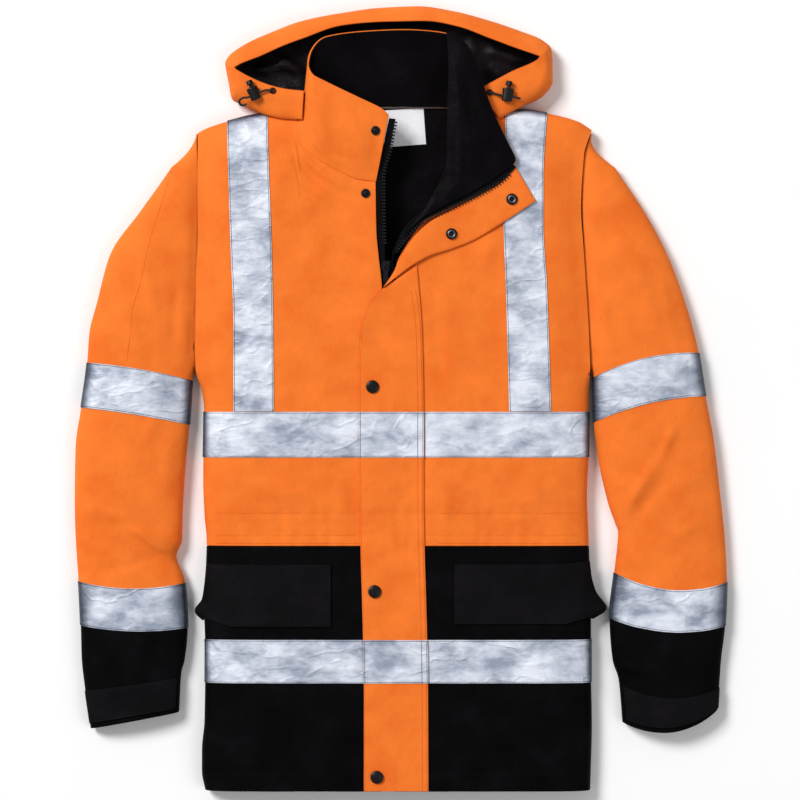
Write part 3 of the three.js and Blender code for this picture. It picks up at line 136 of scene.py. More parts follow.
FLAP = rows("fx fy gx gy", """
-43 -453.5 31.5 -453.5, -43 -332 31 -332, -44 -276 30 -276, -45.5 -222 28.5 -222, -47 -171 27 -171,
-47.5 -145 26.5 -145, -47.7 -120 26 -120, -48 -68.5 26 -68.5, -48 -16 26 -16, -48 44 25 44, -46 79 24 79,
-40 100 22 108, -32 113 20 131, -21.5 126 18 153
""")
FLAP_TOP = rows("lx ly ux uy dz", """
-20.5 127.5 -20 128.5 2.9, -12 134 -9.5 144 2.9, -6 139 -2 160 2.9, 10 151 12 183 2.9, 33 164 36 205 2.4,
58 172 63 219 1.4, 81 181 94 236 1.2, 116 201.5 115 248 1.9, 155 227 131.5 267 2.3
""")
LAPEL = rows("lx ly rx ry", """
-5 174 -2.5 178.5, 3 185 9 193, 12 198 26 207, 26 217 56 222, 37 236 90 238.5, 47 256 118 256,
51.5 274 132 273, 52 292 124 292, 52.5 312 114 312, 53 345 100 345, 54 380 88 382, 53 404 76 406,
51.5 421 58 422
""")
ZIP_RIGHT = rows("ax ay bx by z", """
-23.5 -452 -15.3 -452 31, -23.5 -200 -15.3 -200 31.3, -23.5 -145 -15.3 -145 29.6, -23.5 -90 -15.3 -90 31,
-22.4 90 -15.3 90 32, -21 125 -15.3 125 31.5, -23.4 150 -18.6 150 30.5, -24.8 165 -18.6 165 31,
-27.2 193 -20.2 193 31.5, -28.3 252 -20.8 252 32.5, -20.6 289 -12.8 288 37, -14 322 -6.4 321 40
""")
ZIP_LEFT = rows("ax ay bx by az bz", """
-14.7 -452 -8.4 -452 31 31, -14.7 -200 -8.4 -200 31.3 31.3, -14.7 -145 -8.4 -145 29.6 29.6,
-14.7 -90 -8.4 -90 31 31, -14.7 90 -8.4 90 32 32, -14.7 125 -8.4 125 31.5 31.5, -14.2 146 -9.2 147 31 32,
-12.4 157 -10.4 158 32 34.6, -8.2 165.5 -10.4 168.2 34.6 36.6, -5.2 171 -8.6 171.6 36.6 37.4
""")
COLLAR = rows("sx sy sz rx ry rz", """
-28.5 252 34 -14 326 41, -47.8 254.7 34 -22 333 42, -66.7 262.3 34 -53 348 43, -83.7 270.7 34 -85 363.5 43,
-100.6 281.6 33.5 -101 372 42, -111.5 294 31.5 -106 379 40, -115.5 318 27.5 -108 387 38,
-110 335.5 18 -106.5 396 36, -100 338 9 -102.5 404.5 34, -84 338 7 -90 416 33, -50 338 6.5 -50 423 32,
0 338 6.5 4 425.5 32, 44 338 6.5 42 423 32, 60 338 7 57 420 31
""")
HOOD = rows("ox oy oz mx my mz px py", """
-114.4 321 35 -112.2 354 37 -120 338, -133 321.5 28 -131 356 35 -137 338.8,
-154 326 26 -149 360 35 -155 339.8, -168 331 20 -163 365 34 -170 342, -184 339 15 -176 371 33 -184 346,
-196 346 12.5 -185 376 32 -195 350.5, -200 365 12 -190 379 31 -200 366, -204 387 12 -192 381.5 31 -204 387,
-200 396 12 -188 384.5 31 -200 396, -179 411 12 -165 393.5 31 -179 411, -150 424 12 -135 407 31 -150 424,
-115 437 12 -109 416.5 31 -115 437, -67 446.5 12 -68 430 31 -67 446.5, -26 452 12 -24 434 31 -26 452,
20 454 12 27 435 31 20 454, 62 448 12 66 428.5 31 62 448, 100 438 12 100 416 31 100 438,
136 426 12 132 404 31 136 426, 164 414.5 12 154 396.5 31 164 414.5, 174.5 403 12 160 394 31 174.5 403,
175.5 385 12 158 391 31 175.5 385, 175.5 366 14 149 386 31.5 175.5 364, 164 352.5 20 130 378 32 165 347,
148 341.5 24 112 368.5 33 151.5 341, 134 333.5 27 100 362 33.5 136 339, 113 322 30 89 356 34 118 338
""")
BRIM = rows("d rise", """
0 0, 1.5 0.34, 5 0.64, 11 0.86, 24 1
""")
FLOOR = rows("d z", """
12 0, 4 2, 0.9 6, 0 11.6
""")
LINING_FLOOR = rows("d z", """
11 2.4, 3.4 4.6, 0.6 8, 0 12
""")
POCKET_RIGHT = rows("y x z low", """
-192 -224 19 -192, -216 -226.5 17 -216, -233 -229.5 15 -233, -246 -238.5 13.5 -250, -256 -229.5 14 -264
""")
POCKET_LEFT = rows("y x z low", """
-188.5 217 19 -191.5, -206 219 17 -208, -224 224.5 15 -226, -243 237.5 13.5 -246, -254 222 14 -261
""")
CORDS_RIGHT = rows("x y z", """
-148 354 35.6, -148.1 354 37.4, -150.6 354.2 39, -156 354.2 38.8, -161 352.6 38.6, -169 349.1 38.6,
-177 345.9 38.6, -182.5 345.4 38.4, -186.5 342 37.6, -185 337.8 36.8, -180.5 337.2 36.8, -177.5 339.4 37
""")
CORDS_LEFT = rows("x y z", """
102 352 34.6, 102.1 352 36.6, 104.4 351.6 38, 108 350.4 38, 112 349.2 37.6, 122.3 347.5 37.6,
132 346.1 37.6, 138 344.6 36.8
""")
LABEL = rows("y ax bx by", """
291 -20 29 294.5, 333.5 -24 26 336.5
""")
SIDE = {RIGHT: SIDE_RIGHT, LEFT: SIDE_LEFT}
TOP = {RIGHT: TOP_RIGHT, LEFT: TOP_LEFT}
EDGE = {RIGHT: EDGE_RIGHT, LEFT: ROLL}
FLAP_EDGE = {RIGHT: FLAP_LEFT, LEFT: FLAP_RIGHT}  # the storm flap's edge on each front
SLEEVE = {RIGHT: SLEEVE_RIGHT, LEFT: SLEEVE_LEFT}
SHOULDER_TAPES = {RIGHT: SHOULDER_TAPES_RIGHT, LEFT: SHOULDER_TAPES_LEFT}
BACK_TAPES = {RIGHT: (-200.0, -152.0), LEFT: (121.0, 169.0)}
CORDS = {RIGHT: CORDS_RIGHT, LEFT: CORDS_LEFT}
POCKETS = {RIGHT: (POCKET_RIGHT, -81), LEFT: (POCKET_LEFT, 61)}  # with the flap's inner edge
SLEEVE_BANDS = {"upper": (6, 7), "lower": (12, 13)}
BAND = dict(zip(("chest", "hem"), BANDS))
NAME = {RIGHT: "right", LEFT: "left"}

# Soft creases: a line from (x0, y0) to (x1, y1), bowed sideways, its half width and its height
BODY_CREASES = rows("x0 y0 x1 y1 bow wide high", """
-34 232 -58 40 -10 13 1.3, -70 205 -88 60 6 17 -0.9, -118 296 -150 190 8 12 1.0, -60 250 -128 205 6 10 0.8,
-126 306 -52 241 12 4 1.3, -133 300 -58 233 12 4 -1.0, -141 292 -66 222 12 6 0.9, -214 150 -206 10 4 9 0.8,
-105 40 -60 12 4 8 0.6, 48 150 74 20 6 12 1.1, 86 170 108 40 -5 14 -0.8, 112 196 96 130 6 9 0.9,
36 120 52 -10 3 8 -0.8, 186 250 194 110 -4 10 0.8, 62 60 118 4 -6 9 0.7, -214 -84 -120 -104 6 8 0.8,
-190 -118 -90 -112 -4 6 0.6, 40 -88 130 -110 5 8 0.8, 206 -80 140 -112 -5 8 0.8, 90 -120 190 -114 3 5 0.5,
-70 -78 -60 -160 4 8 0.8, 44 -76 50 -160 -4 8 0.8, -208 -276 -120 -262 -6 9 0.8, 80 -270 205 -256 6 9 0.8,
-216 -350 -180 -452 5 13 1.0, -130 -345 -120 -452 -4 18 -1.0, -76 -340 -84 -452 4 12 0.9,
60 -340 76 -452 -4 13 0.9, 136 -345 128 -452 5 18 -1.0, 206 -345 186 -452 -4 12 1.0,
-196 20 -120 60 7 10 0.6, 190 20 110 90 -6 12 0.6, -228 40 -196 8 4 7 0.9, 212 44 184 10 -4 7 0.9
""")
SLEEVE_CREASES = rows("x0 y0 x1 y1 bow wide high", """
-312 -146 -258 -184 4 5 2.2, -330 -150 -262 -172 -5 7 1.4, -372 -128 -300 -150 -6 8 1.0,
-360 -196 -280 -182 5 7 -1.0, -300 190 -268 60 6 9 1.2, -330 130 -300 20 -5 10 1.0,
-252 10 -300 -60 6 8 1.2, -262 -36 -270 -120 4 9 1.0, -366 -60 -350 -150 4 8 1.0,
-306 -275 -286 -296 3 5 1.6, -352 -270 -330 -350 4 9 1.0, -270 -272 -280 -330 -3 7 0.9,
-256 150 -262 40 3 6 -1.0, 319 -30 300 -76 3 5 2.4, 304 -66 258 -138 4 5 2.6, 316 -84 268 -146 4 6 -1.6,
366 -80 310 -120 6 8 1.0, 250 190 300 60 -6 10 1.2, 232 130 250 20 4 7 1.0, 300 160 322 40 4 9 0.8,
360 -140 300 -176 4 8 0.9, 252 -170 300 -200 4 7 1.0, 314 -268 309 -322 4 6 1.6, 257 -305 276 -318 2 4 1.2,
352 -268 340 -340 -4 9 1.0, 236 10 276 -40 -5 8 1.1
""")
LAPEL_CREASES = rows("x0 y0 x1 y1 bow wide high", """
57 404 66 230 -5 4.5 2.2, 66 400 88 246 4 5 1.6, 76 380 112 262 -4 6 1.4, 60 330 60 232 3 3.5 1.2,
46 232 20 198 4 5 1.2
""")
HOOD_CREASES = rows("x0 y0 x1 y1 bow wide high", """
-184 382 -118 400 6 6 3.0, -172 372 -112 384 -5 5 2.4, -150 404 -108 376 4 6 2.6, -110 352 -140 396 5 5 2.0,
-120 415 -40 428 4 5 2.0, -90 420 60 430 -3 5 2.0, 96 414 152 392 5 6 3.0, 92 400 146 386 -4 5 2.4,
98 388 128 372 3 5 2.4, 80 424 100 372 4 6 2.0
""")
BRIM_CREASES = rows("x0 y0 x1 y1 bow wide high", """
-198 378 -150 412 4 6 1.0, -140 420 -60 440 4 7 0.9, -40 448 -20 436 2 5 0.9, 10 452 30 438 2 5 0.9,
60 446 120 420 -4 7 0.9, 150 414 172 396 3 5 1.0, -196 362 -150 336 -4 7 1.0, -176 366 -128 344 3 6 0.8,
168 384 160 348 3 6 1.0, 150 372 124 336 -3 7 0.8, -206 386 -188 378 0 2.6 1.8, -204 393 -186 385 0 4.5 -2.2
""")
COLLAR_CREASES = rows("x0 y0 x1 y1 bow wide high", """
-40 262 -70 340 4 8 1.4, -80 282 -96 350 -3 7 1.2, -30 262 -32 330 3 6 -1.0, -60 276 -100 330 4 6 -1.0,
-108 304 -48 262 9 4 1.2, -102 316 -50 272 9 4 -0.9
""")


def hermite(a, b, slope_a, slope_b, t, gap=1.0):
    """Cubic from a to b over a gap, with a given slope at each end."""
    return (
        (2 * t**3 - 3 * t**2 + 1) * a
        + (t**3 - 2 * t**2 + t) * gap * slope_a
        + (3 * t**2 - 2 * t**3) * b
        + (t**3 - t**2) * gap * slope_b
    )


def smooth(keys, values, at):
    """Cubic through the rows with slopes that never overshoot, and level beyond the first and last row."""
    if keys[0] > keys[-1]:
        keys, values = keys[::-1], values[::-1]
    at = np.asarray(at, float)
    gap = np.diff(keys)
    steep = np.diff(values) / gap
    product = steep[1:] * steep[:-1]
    total = np.where(product > 0, steep[1:] + steep[:-1], 1.0)
    inner = np.where(product > 0, 2 * product / total, 0.0)
    slope = np.concatenate([steep[:1], inner, steep[-1:]])
    i = np.clip(np.searchsorted(keys, at, side="right") - 1, 0, len(gap) - 1)
    t = np.clip((at - keys[i]) / gap[i], 0, 1)
    return hermite(values[i], values[i + 1], slope[i], slope[i + 1], t, gap[i])


def read(table, key, column, at):
    """A table's column at a key."""
    return smooth(table[key], table[column], at)


def at_row(table, column, index):
    """A table's column at a row number that may lie between two rows."""
    return smooth(np.arange(len(table[column]), dtype=float), table[column], index)


def between(table, a, b, index, t):
    """A share of the way from one column of a table to another, at a row number."""
    return mix(at_row(table, a, index), at_row(table, b, index), t)


def mix(a, b, t):
    """a at t 0, b at t 1."""
    return a + (b - a) * t


def ease(t):
    """0 to 1 with level ends."""
    c = np.clip(t, 0, 1)
    return c * c * (3 - 2 * c)


def point(x, y, z):
    """Three arrays as one array of points."""
    return np.stack(np.broadcast_arrays(x, y, z), axis=-1)


def unit(vectors):
    """Vectors made one long."""
    return vectors / np.maximum(np.linalg.norm(vectors, axis=-1, keepdims=True), 1e-9)


def tangent(before, here, after):
    """Unit direction of a line at a point, from the two steps that meet there."""
    return unit(unit(here - before) + unit(after - here))


def run_lengths(points, axis):
    """Way along one direction of a grid to each of its points."""
    step = np.linalg.norm(np.diff(points, axis=axis), axis=-1)
    start = np.zeros_like(np.take(step, [0], axis=axis))
    return np.cumsum(np.concatenate([start, step], axis=axis), axis=axis)


def way_along(line):
    """Way along a line to each of its points."""
    return run_lengths(line[:, None], 0)[:, 0]


def at_way(spots, way, values):
    """A line's points or vectors at some ways along it."""
    return np.stack([np.interp(spots, way, values[:, k]) for k in range(3)], axis=1)


def closed(grid, ring):
    """A grid with its first column again at the end where it closes to a ring."""
    return np.concatenate([grid, grid[:, :1]], axis=1) if ring else grid


def quads(order):
    """Four-cornered faces between the point numbers of a grid."""
    return np.stack([order[:-1, :-1], order[1:, :-1], order[1:, 1:], order[:-1, 1:]], axis=-1).reshape(-1, 4)


def creases(table, x, y):
    """Sum of the table's creases: a bell across a bowed line that fades out at both ends."""
    total = np.zeros(np.broadcast(x, y).shape)
    for x0, y0, x1, y1, bow, wide, high in zip(*table.values()):
        dx, dy = x1 - x0, y1 - y0
        long = math.hypot(dx, dy)
        s = ((x - x0) * dx + (y - y0) * dy) / long**2
        across = ((x - x0) * dy - (y - y0) * dx) / long - bow * 4 * s * (1 - s)
        total += high * np.exp(-((across / wide) ** 2)) * np.exp(-3 * np.abs(2 * s - 1) ** 4)
    return total


def crumple(x, y, long, seed):
    """Uneven cloth, about 1 high at most: waves of random direction whose lengths lie round long."""
    rng = np.random.default_rng(seed)
    total = np.zeros(np.broadcast(x, y).shape)
    for _ in range(9):
        turn, phase, stretch = rng.uniform(0, FULL_TURN), rng.uniform(0, FULL_TURN), rng.uniform(0.6, 1.7)
        wave = FULL_TURN / (long * stretch)
        total += np.sin((x * math.cos(turn) + y * math.sin(turn)) * wave + phase)
    return total / 4


def pucker(x, y, level, pitch, high, reach):
    """Small gathers along a stitched line at one level: waves along it that fade away from it."""
    wave = np.sin(FULL_TURN * x / pitch + 1.3 * np.sin(x / 17.0) + 0.7 * np.sin(x / 7.3))
    return high * wave * np.exp(-(((y - level) / reach) ** 2))


def relief(x, y):
    """Height of the stuffed body over its flat loft: swells, creases, uneven cloth and puckered lines."""
    waist = -1.2 * np.exp(-(((y + 145) / 16) ** 2))
    belly = 1.6 * np.exp(-(((y + 240) / 60) ** 2)) * np.cos(x / 75)
    chest = 1.5 * np.exp(-(((y - 120) / 90) ** 2)) * np.cos(x / 90)
    total = waist + belly + chest + 1.5 * creases(BODY_CREASES, x, y)
    total += 0.55 * crumple(x, y, 62, 3) + 0.16 * crumple(x, y, 24, 5)
    for level in GATHERED:
        total += pucker(x, y, level, 23.0, 0.45, 9.0) - 0.55 * np.exp(-(((y - level) / 2.6) ** 2))
    for level in (-16.0, -68.5, -279.0, -329.0, HEM_LINE):
        total += pucker(x, y, level, 17.0, 0.24, 9.0)
    total += pucker(x, y, SEAM_Y, 15.0, 0.35, 8.0)
    return total


def body_top(x, y):
    """Height of the fronts' outside away from their rounded edges."""
    return LOFT + relief(x, y)


def band_rise(y):
    """Lift of the underside over a tape band, with a short ramp on each side."""
    rise = np.zeros(np.shape(y))
    for low, high in BANDS:
        rise = np.maximum(rise, np.clip(1 + np.minimum(y - low, high - y) / 3, 0, 1))
    return REST * rise


def tuck_at(y):
    """How far a front reaches under the body."""
    return mix(14, TUCK, ease((8 - y) / 90))


def under_end(y):
    """The value of q at a front's side seam."""
    return FLOOR_Q - (tuck_at(y) - FLOOR_D)


def side_join(y):
    """1 below the armhole, where a front wraps round the side, and 0 beside it."""
    return np.clip((30 - y) / 24, 0, 1)


def side_at(hand, y):
    """Outline of the body on one side."""
    return read(SIDE[hand], "y", "x", y)


def shoulder_line(hand, x):
    """Outline of the shoulder, carried on past the neck so that the wall stays high along the neck seam."""
    if hand == RIGHT:
        past = 10 * np.logaddexp(0, (x - NECK_RIGHT) / 3.5)
        return read(TOP_RIGHT, "x", "y", np.minimum(x, NECK_RIGHT)) + past
    return read(TOP_LEFT, "x", "y", np.maximum(x, NECK_LEFT)) + 6 * np.logaddexp(0, (NECK_LEFT - x) / 4)


def front_point(hand, q, y):
    """Outside of a front. q is the way in from the side; below 0 it wraps under the body to the side seam."""
    order = np.argsort(ROUND["q"])
    d, z = (smooth(ROUND["q"][order], ROUND[column][order], q) for column in "dz")
    d = np.where(q > FLAT_Q, q, np.where(q < FLOOR_Q, FLOOR_D + (FLOOR_Q - q), d))
    z = z + np.where(q < 0, band_rise(y) * np.clip(-q / 10, 0, 1), 0)
    reach = np.where(q < 0, q / under_end(y) * -0.3, q)
    valley = np.where(q < 0, 23.5, read(VALLEY, "d", "z", np.maximum(q, 0)))
    d, z = mix(reach, d, side_join(y)), mix(valley, z, side_join(y))
    x = side_at(hand, y) - hand * d
    z = z + relief(x, y) * np.clip((q - 14) / 50, 0, 1)
    ahead = shoulder_line(hand, x) - y
    curl = (read(EDGE_CURVE, "d", "z", np.maximum(ahead, 0)) - 11.5) / 20
    z = np.where(ahead < 60, 11.5 + (z - 11.5) * np.clip(curl, 0, 1), z)
    return point(x, y, z)


# The curve of a wall's upper edge, from its outline in
EDGE_CURVE = {"d": ROUND["d"][5::-1], "z": ROUND["z"][5::-1]}
ROUND_STEPS = [14, 12, 10, 8, 6, 4.5, 3, 2, 1, 0, -1.5, -3, -4.5, -6, -8, -10, -12, -15, FLOOR_Q]
SIDE_Q = np.concatenate([np.arange(57, 15, -CELL), ROUND_STEPS])
TUCK_SHARE = np.linspace(0, 1, 13)[1:]


def front_q(hand, y, near):
    """The columns' q at each height: from the near edge to 60, round the side, and under to the side seam."""
    far = np.abs(near - side_at(hand, y))[:, None]
    inner = mix(FLAT_Q, far, np.linspace(1, 0, int(180 / CELL)))
    side = np.broadcast_to(SIDE_Q, (len(y), len(SIDE_Q)))
    under = mix(FLOOR_Q, under_end(y[:, None]), TUCK_SHARE)
    return np.concatenate([inner, side, under], axis=1)


def edge_q(hand, y):
    """The same from the front's own front edge."""
    return front_q(hand, y, read(EDGE[hand], "y", "x", y))


def front_grid(hand, levels, edge):
    """Rows of a front at the given heights, from its edge table's line out to the side seam."""
    q = front_q(hand, levels, read(edge, "y", "x", levels))
    return front_point(hand, q, np.broadcast_to(levels[:, None], q.shape))


def upper_grid(hand):
    """Upper part of a front: each column rises from the seam to the neck or shoulder line above it."""
    share = np.concatenate([np.linspace(0, 0.965, int(480 / CELL)), np.linspace(0.97, 1, 10)])
    columns = np.arange(edge_q(hand, np.array([0.0])).shape[1])
    top = np.full(len(columns), FIRST_GUESS)
    for _ in range(14):
        q = edge_q(hand, top)[columns, columns]
        top = read(TOP[hand], "x", "y", front_point(hand, q, top)[:, 0])
    start = SEAM_Y + GAP
    levels = start + (top[None, :] - start) * share[:, None]
    return np.array([front_point(hand, edge_q(hand, row)[columns, columns], row) for row in levels])


def span(low, high, cell=CELL):
    """Even levels from low to high, about a cell apart."""
    return np.linspace(low, high, max(2, int(round(abs(high - low) / cell)) + 1))


def back_top(x):
    """Top edge of the back: level behind the neck, then the shoulders."""
    neck = mix(332, 334, (x - NECK_RIGHT) / (NECK_LEFT - NECK_RIGHT))
    right = read(TOP_RIGHT, "x", "y", np.minimum(x, NECK_RIGHT))
    left = read(TOP_LEFT, "x", "y", np.maximum(x, NECK_LEFT))
    return np.where(x < NECK_RIGHT, right, np.where(x > NECK_LEFT, left, neck))


def back_row(y, share):
    """Places across the back at a height, from the right side seam or armhole to the left one."""
    right, left = (side_at(hand, y) - hand * mix(0, tuck_at(y) + 0.4, side_join(y)) for hand in (RIGHT, LEFT))
    return mix(right, left, share)


def back_grid(low, high):
    """The back's underside: flat, lifted over its tapes and, where no high is given, curled up at the top."""
    share = np.linspace(0, 1, 70)
    levels, rise = span(low, 0 if high is None else high, 6), []
    if high is None:
        levels = np.concatenate([levels, np.linspace(4, 60, 12)])
        rise = np.concatenate([np.linspace(0.05, 0.93, 42), np.linspace(0.94, 1, 10)])
    grid = [point(back_row(y, share), y, 0) for y in levels]
    for part in rise:
        y = np.full(len(share), FIRST_GUESS)
        for _ in range(10):
            x = back_row(y, share)
            y = mix(60, back_top(x), part)
        grid.append(point(x, y, 0))
    grid = np.array(grid)
    x, y = grid[..., 0], grid[..., 1]
    z = band_rise(y)
    for a, b in BACK_TAPES.values():
        z = np.maximum(z, np.where(y > -19, REST * np.clip(1 + np.minimum(x - a, b - x) / 3, 0, 1), 0))
    ahead = back_top(x) - y
    curl = read(CURL, "d", "z", np.maximum(ahead, 0))
    edge = (ahead < 12) & ((x < NECK_RIGHT) | (x > NECK_LEFT))
    grid[..., 2] = np.where(edge, np.maximum(z * np.clip(ahead / 12, 0, 1), curl), z)
    return grid


# Round a sleeve: end (0 outer, 1 inner, 0.5 the middle), way in from that end, height at a loft of 31.5
UPPER_STEPS = list(zip(ROUND["d"][1:6], ROUND["z"][1:6]))
LOWER_STEPS = list(zip(ROUND["d"][6:], ROUND["z"][6:]))
LOOP = (
    [(0, d, z) for d, z in reversed(UPPER_STEPS)]
    + [(0.5, 0, LOFT)]
    + [(1, d, z) for d, z in UPPER_STEPS + LOWER_STEPS]
    + [(0, d, z) for d, z in reversed(LOWER_STEPS)]
)
LOOP_CUTS = (2, 2, 3, 5, 10, 10, 5, 3, 2, 2, 2, 2, 2, 20, 2, 2, 2)
FLAT_SIDE = 13  # the step of LOOP that lies flat on the floor


def sleeve_ring(hand, s):
    """The named points round a sleeve at each station."""
    ox, oy, ix, iy, h = (read(SLEEVE[hand], "s", column, s) for column in ("ox", "oy", "ix", "iy", "h"))
    long = np.hypot(ox - ix, oy - iy)
    rise = np.zeros(len(s))
    for low, high in SLEEVE_BANDS.values():
        rise = np.maximum(rise, np.clip(1 + np.minimum(s - low, high - s) / 0.1, 0, 1))
    ring = []
    for end, d, height in LOOP:
        u = 0.5 if end == 0.5 else abs(end - d / long)
        x, y = mix(ox, ix, u), mix(oy, iy, u)
        tip = max(0.0, min(1.0, 1 - d / 30)) if end == 0 else 0
        arm = side_at(hand, y) + hand * (0.7 + 1.8 * tip)
        x = mix(x, arm, np.clip(1 - s, 0, 1))
        z = height * h / LOFT
        bow = 4 * u * (1 - u) * read(BOW, "s", NAME[hand], s)
        x, y = x - hand * bow * (iy - oy) / long, y + hand * bow * (ix - ox) / long
        ring.append(point(x, y, z + REST * rise * np.clip(1 - z / 10, 0, 1)))
    return np.stack(ring, axis=1)


def round_ring(ring, first, last):
    """Curve through a closed ring's points from point first to point last, cut as LOOP_CUTS says."""
    n = ring.shape[1]
    out = []
    for k in range(first, last):
        p0, p1, p2, p3 = (ring[:, (k + j) % n] for j in (-1, 0, 1, 2))
        step = np.linalg.norm(p2 - p1, axis=1)[:, None]
        m1, m2 = tangent(p0, p1, p2) * step, tangent(p1, p2, p3) * step
        if k % n == FLAT_SIDE:
            m1 = m2 = p2 - p1
        out += [hermite(p1, p2, m1, m2, t) for t in np.arange(LOOP_CUTS[k % n]) / LOOP_CUTS[k % n]]
    if last - first < n:
        out.append(ring[:, last % n])
    return np.stack(out, axis=1)


def sleeve_stations(first, last):
    """Stations from first to last, about a cell apart along the longer side."""
    out = [np.array([first])]
    for s in range(int(math.floor(first)), int(math.ceil(last))):
        a, b = max(first, s), min(last, s + 1)
        out.append(np.linspace(a, b, max(2, int(42 * (b - a) / CELL)) + 1)[1:])
    return np.concatenate(out)


def sleeve_grid(hand, first, last, points=None):
    """Outside of a sleeve between two stations, with its creases on the upper side."""
    s = sleeve_stations(first, last)
    start, end = points or (0, len(LOOP))
    grid = round_ring(sleeve_ring(hand, s), start, end)
    x, y, z = grid[..., 0], grid[..., 1], grid[..., 2]
    fold = 1.5 * creases(SLEEVE_CREASES, x, y) + 0.7 * crumple(x, y, 56, 11) + 0.18 * crumple(x, y, 22, 12)
    armhole = np.clip(s / 0.6, 0, 1)[:, None]
    seam = np.exp(-(((x - side_at(hand, y)) / 9) ** 2)) * np.clip((y - 20) / 30, 0, 1)
    grid[..., 2] = z + (fold * armhole - 4.5 * seam) * np.clip((z - 17) / 8, 0, 1)
    return grid


RIM = np.array([0, 0.35, 0.9, 1.7, 3.0])  # distances in from a cloth edge
RISE_TURNED = np.array([0.35, 0.8, 1.0, 1.0, 1.0])  # share of the thickness there
RISE_STITCHED = np.array([0.35, 0.8, 1.0, 0.6, 1.0])  # the same with the dip of a stitched line
STITCH_ROW = 3  # index of the stitched line in RIM
outside = {}  # outer points of each piece, by name


def edge_rows(points):
    """Puts extra rows in the first and last cell of the first direction, at the distances in RIM."""
    ends = []
    for near, far in ((points[0], points[1]), (points[-1], points[-2])):
        cell = np.maximum(np.linalg.norm(far - near, axis=-1), 1e-6)
        share = RIM[:, None] * np.minimum(1, cell / 4.2) / cell
        ends.append(near + (far - near) * share[..., None])
    return np.concatenate([ends[0], points[1:-1], ends[1][::-1]])


def shares(count, rise):
    """Share of the thickness for each row of a direction that edge_rows has filled."""
    middle = np.ones(count - 2 * len(rise))
    return np.concatenate([rise, middle, rise[::-1]])


def normals(points, ring, low_side=False):
    """Unit normals of a grid: the cross product of its two directions. On a low side none looks up."""
    rows_out = np.concatenate([points[:1], points, points[-1:]])
    before, after = (points[:, -1:], points[:, :1]) if ring else (points[:, :1], points[:, -1:])
    columns_out = np.concatenate([before, points, after], axis=1)
    down = tangent(rows_out[:-2], points, rows_out[2:])
    across = tangent(columns_out[:, :-2], points, columns_out[:, 2:])
    normal = unit(np.cross(down, across))
    return np.where(normal[..., 2:] > 0.3, -normal, normal) if low_side else normal


def wall(points, low, high, ring=False, turn=False, stitched=False, low_side=False):
    """Thin closed wall round a grid, from low to high along its normals, thinned to a rounded rim.

    Returns the points, the four-cornered faces, each corner's place on the cloth, the faces' side (0 outer,
    1 inner) and the outer points. ring closes the second direction, and turn swaps the two sides.
    """
    rise = RISE_STITCHED if stitched else RISE_TURNED
    p = edge_rows(points)
    top_share = np.broadcast_to(shares(len(p), rise)[:, None], p.shape[:2])
    low_share = np.broadcast_to(shares(len(p), RISE_TURNED)[:, None], p.shape[:2])
    if not ring:
        p = edge_rows(p.swapaxes(0, 1)).swapaxes(0, 1)
        columns = p.shape[1]
        top_share = np.minimum(top_share[:, :1], shares(columns, rise)[None, :])
        low_share = np.minimum(low_share[:, :1], shares(columns, RISE_TURNED)[None, :])
    normal = normals(p, ring, low_side) * (-1 if turn else 1)
    middle, half = (low + high) / 2, (high - low) / 2
    top = p + normal * (middle + half * top_share)[..., None]
    under = p + normal * (middle - half * low_share)[..., None]
    for layer in (top, under):
        layer[..., 2] = np.abs(layer[..., 2])  # nothing goes below the floor where the grid is pinched
    m, n = p.shape[:2]
    order = closed(np.arange(m * n).reshape(m, n), ring)
    sheet_faces = quads(order)
    back = sheet_faces[:, ::-1] + m * n
    edges = [order[0], order[-1][::-1]]
    if not ring:
        edges += [order[::-1, 0], order[:, -1]]
    rim = [np.stack([e[:-1], e[1:], e[1:] + m * n, e[:-1] + m * n], axis=-1) for e in edges]
    faces = np.concatenate([sheet_faces, back] + rim)
    side = np.zeros(len(faces))
    side[len(sheet_faces) : 2 * len(sheet_faces)] = 1
    if turn:
        faces = faces[:, ::-1]
    place = np.stack([run_lengths(closed(p, ring), axis) for axis in (1, 0)], axis=-1)
    i, j = np.divmod(faces % (m * n), n)
    if ring:
        wraps = (j == 0) & (j.max(axis=1) == n - 1)[:, None]
        j = np.where(wraps, n, j)
    return np.concatenate([top.reshape(-1, 3), under.reshape(-1, 3)]), faces, place[i, j], side, top


TUBE_CORNERS = [0, 3, 2, 1]  # turns a face round, so that a tube's faces look out


def make_mesh(name, points, faces, caps=(), smooth_faces=True):
    """A mesh from points in millimetres, faces of one size and caps of any."""
    mesh = bpy.data.meshes.new(name)
    mesh.from_pydata((points.reshape(-1, 3) * MM).tolist(), [], faces.tolist() + list(caps))
    if smooth_faces:
        mesh.shade_smooth()
    return mesh


def tube_mesh(name, rings, hollow=False):
    """A mesh of rings of points, with a cap at each end, or closed on itself where it is hollow."""
    m, n = rings.shape[:2]
    order = closed(np.arange(m * n).reshape(m, n), True)
    caps = [list(range(n))[::-1], list(range((m - 1) * n, m * n))]
    if hollow:
        order, caps = np.concatenate([order, order[:1]]), []
    return make_mesh(name, rings, quads(order)[:, TUBE_CORNERS], caps)


def fix_faces(mesh):
    """Turns a closed mesh's faces outwards."""
    work = bmesh.new()
    work.from_mesh(mesh)
    bmesh.ops.recalc_face_normals(work, faces=work.faces)
    work.to_mesh(mesh)
    work.free()


def lay_out(mesh, corner):
    """Keeps each corner's place on the cloth as the mesh's UV layer, in metres."""
    layer = mesh.uv_layers.new(name="cloth")
    layer.data.foreach_set("uv", (corner * MM).astype(np.float32).ravel())


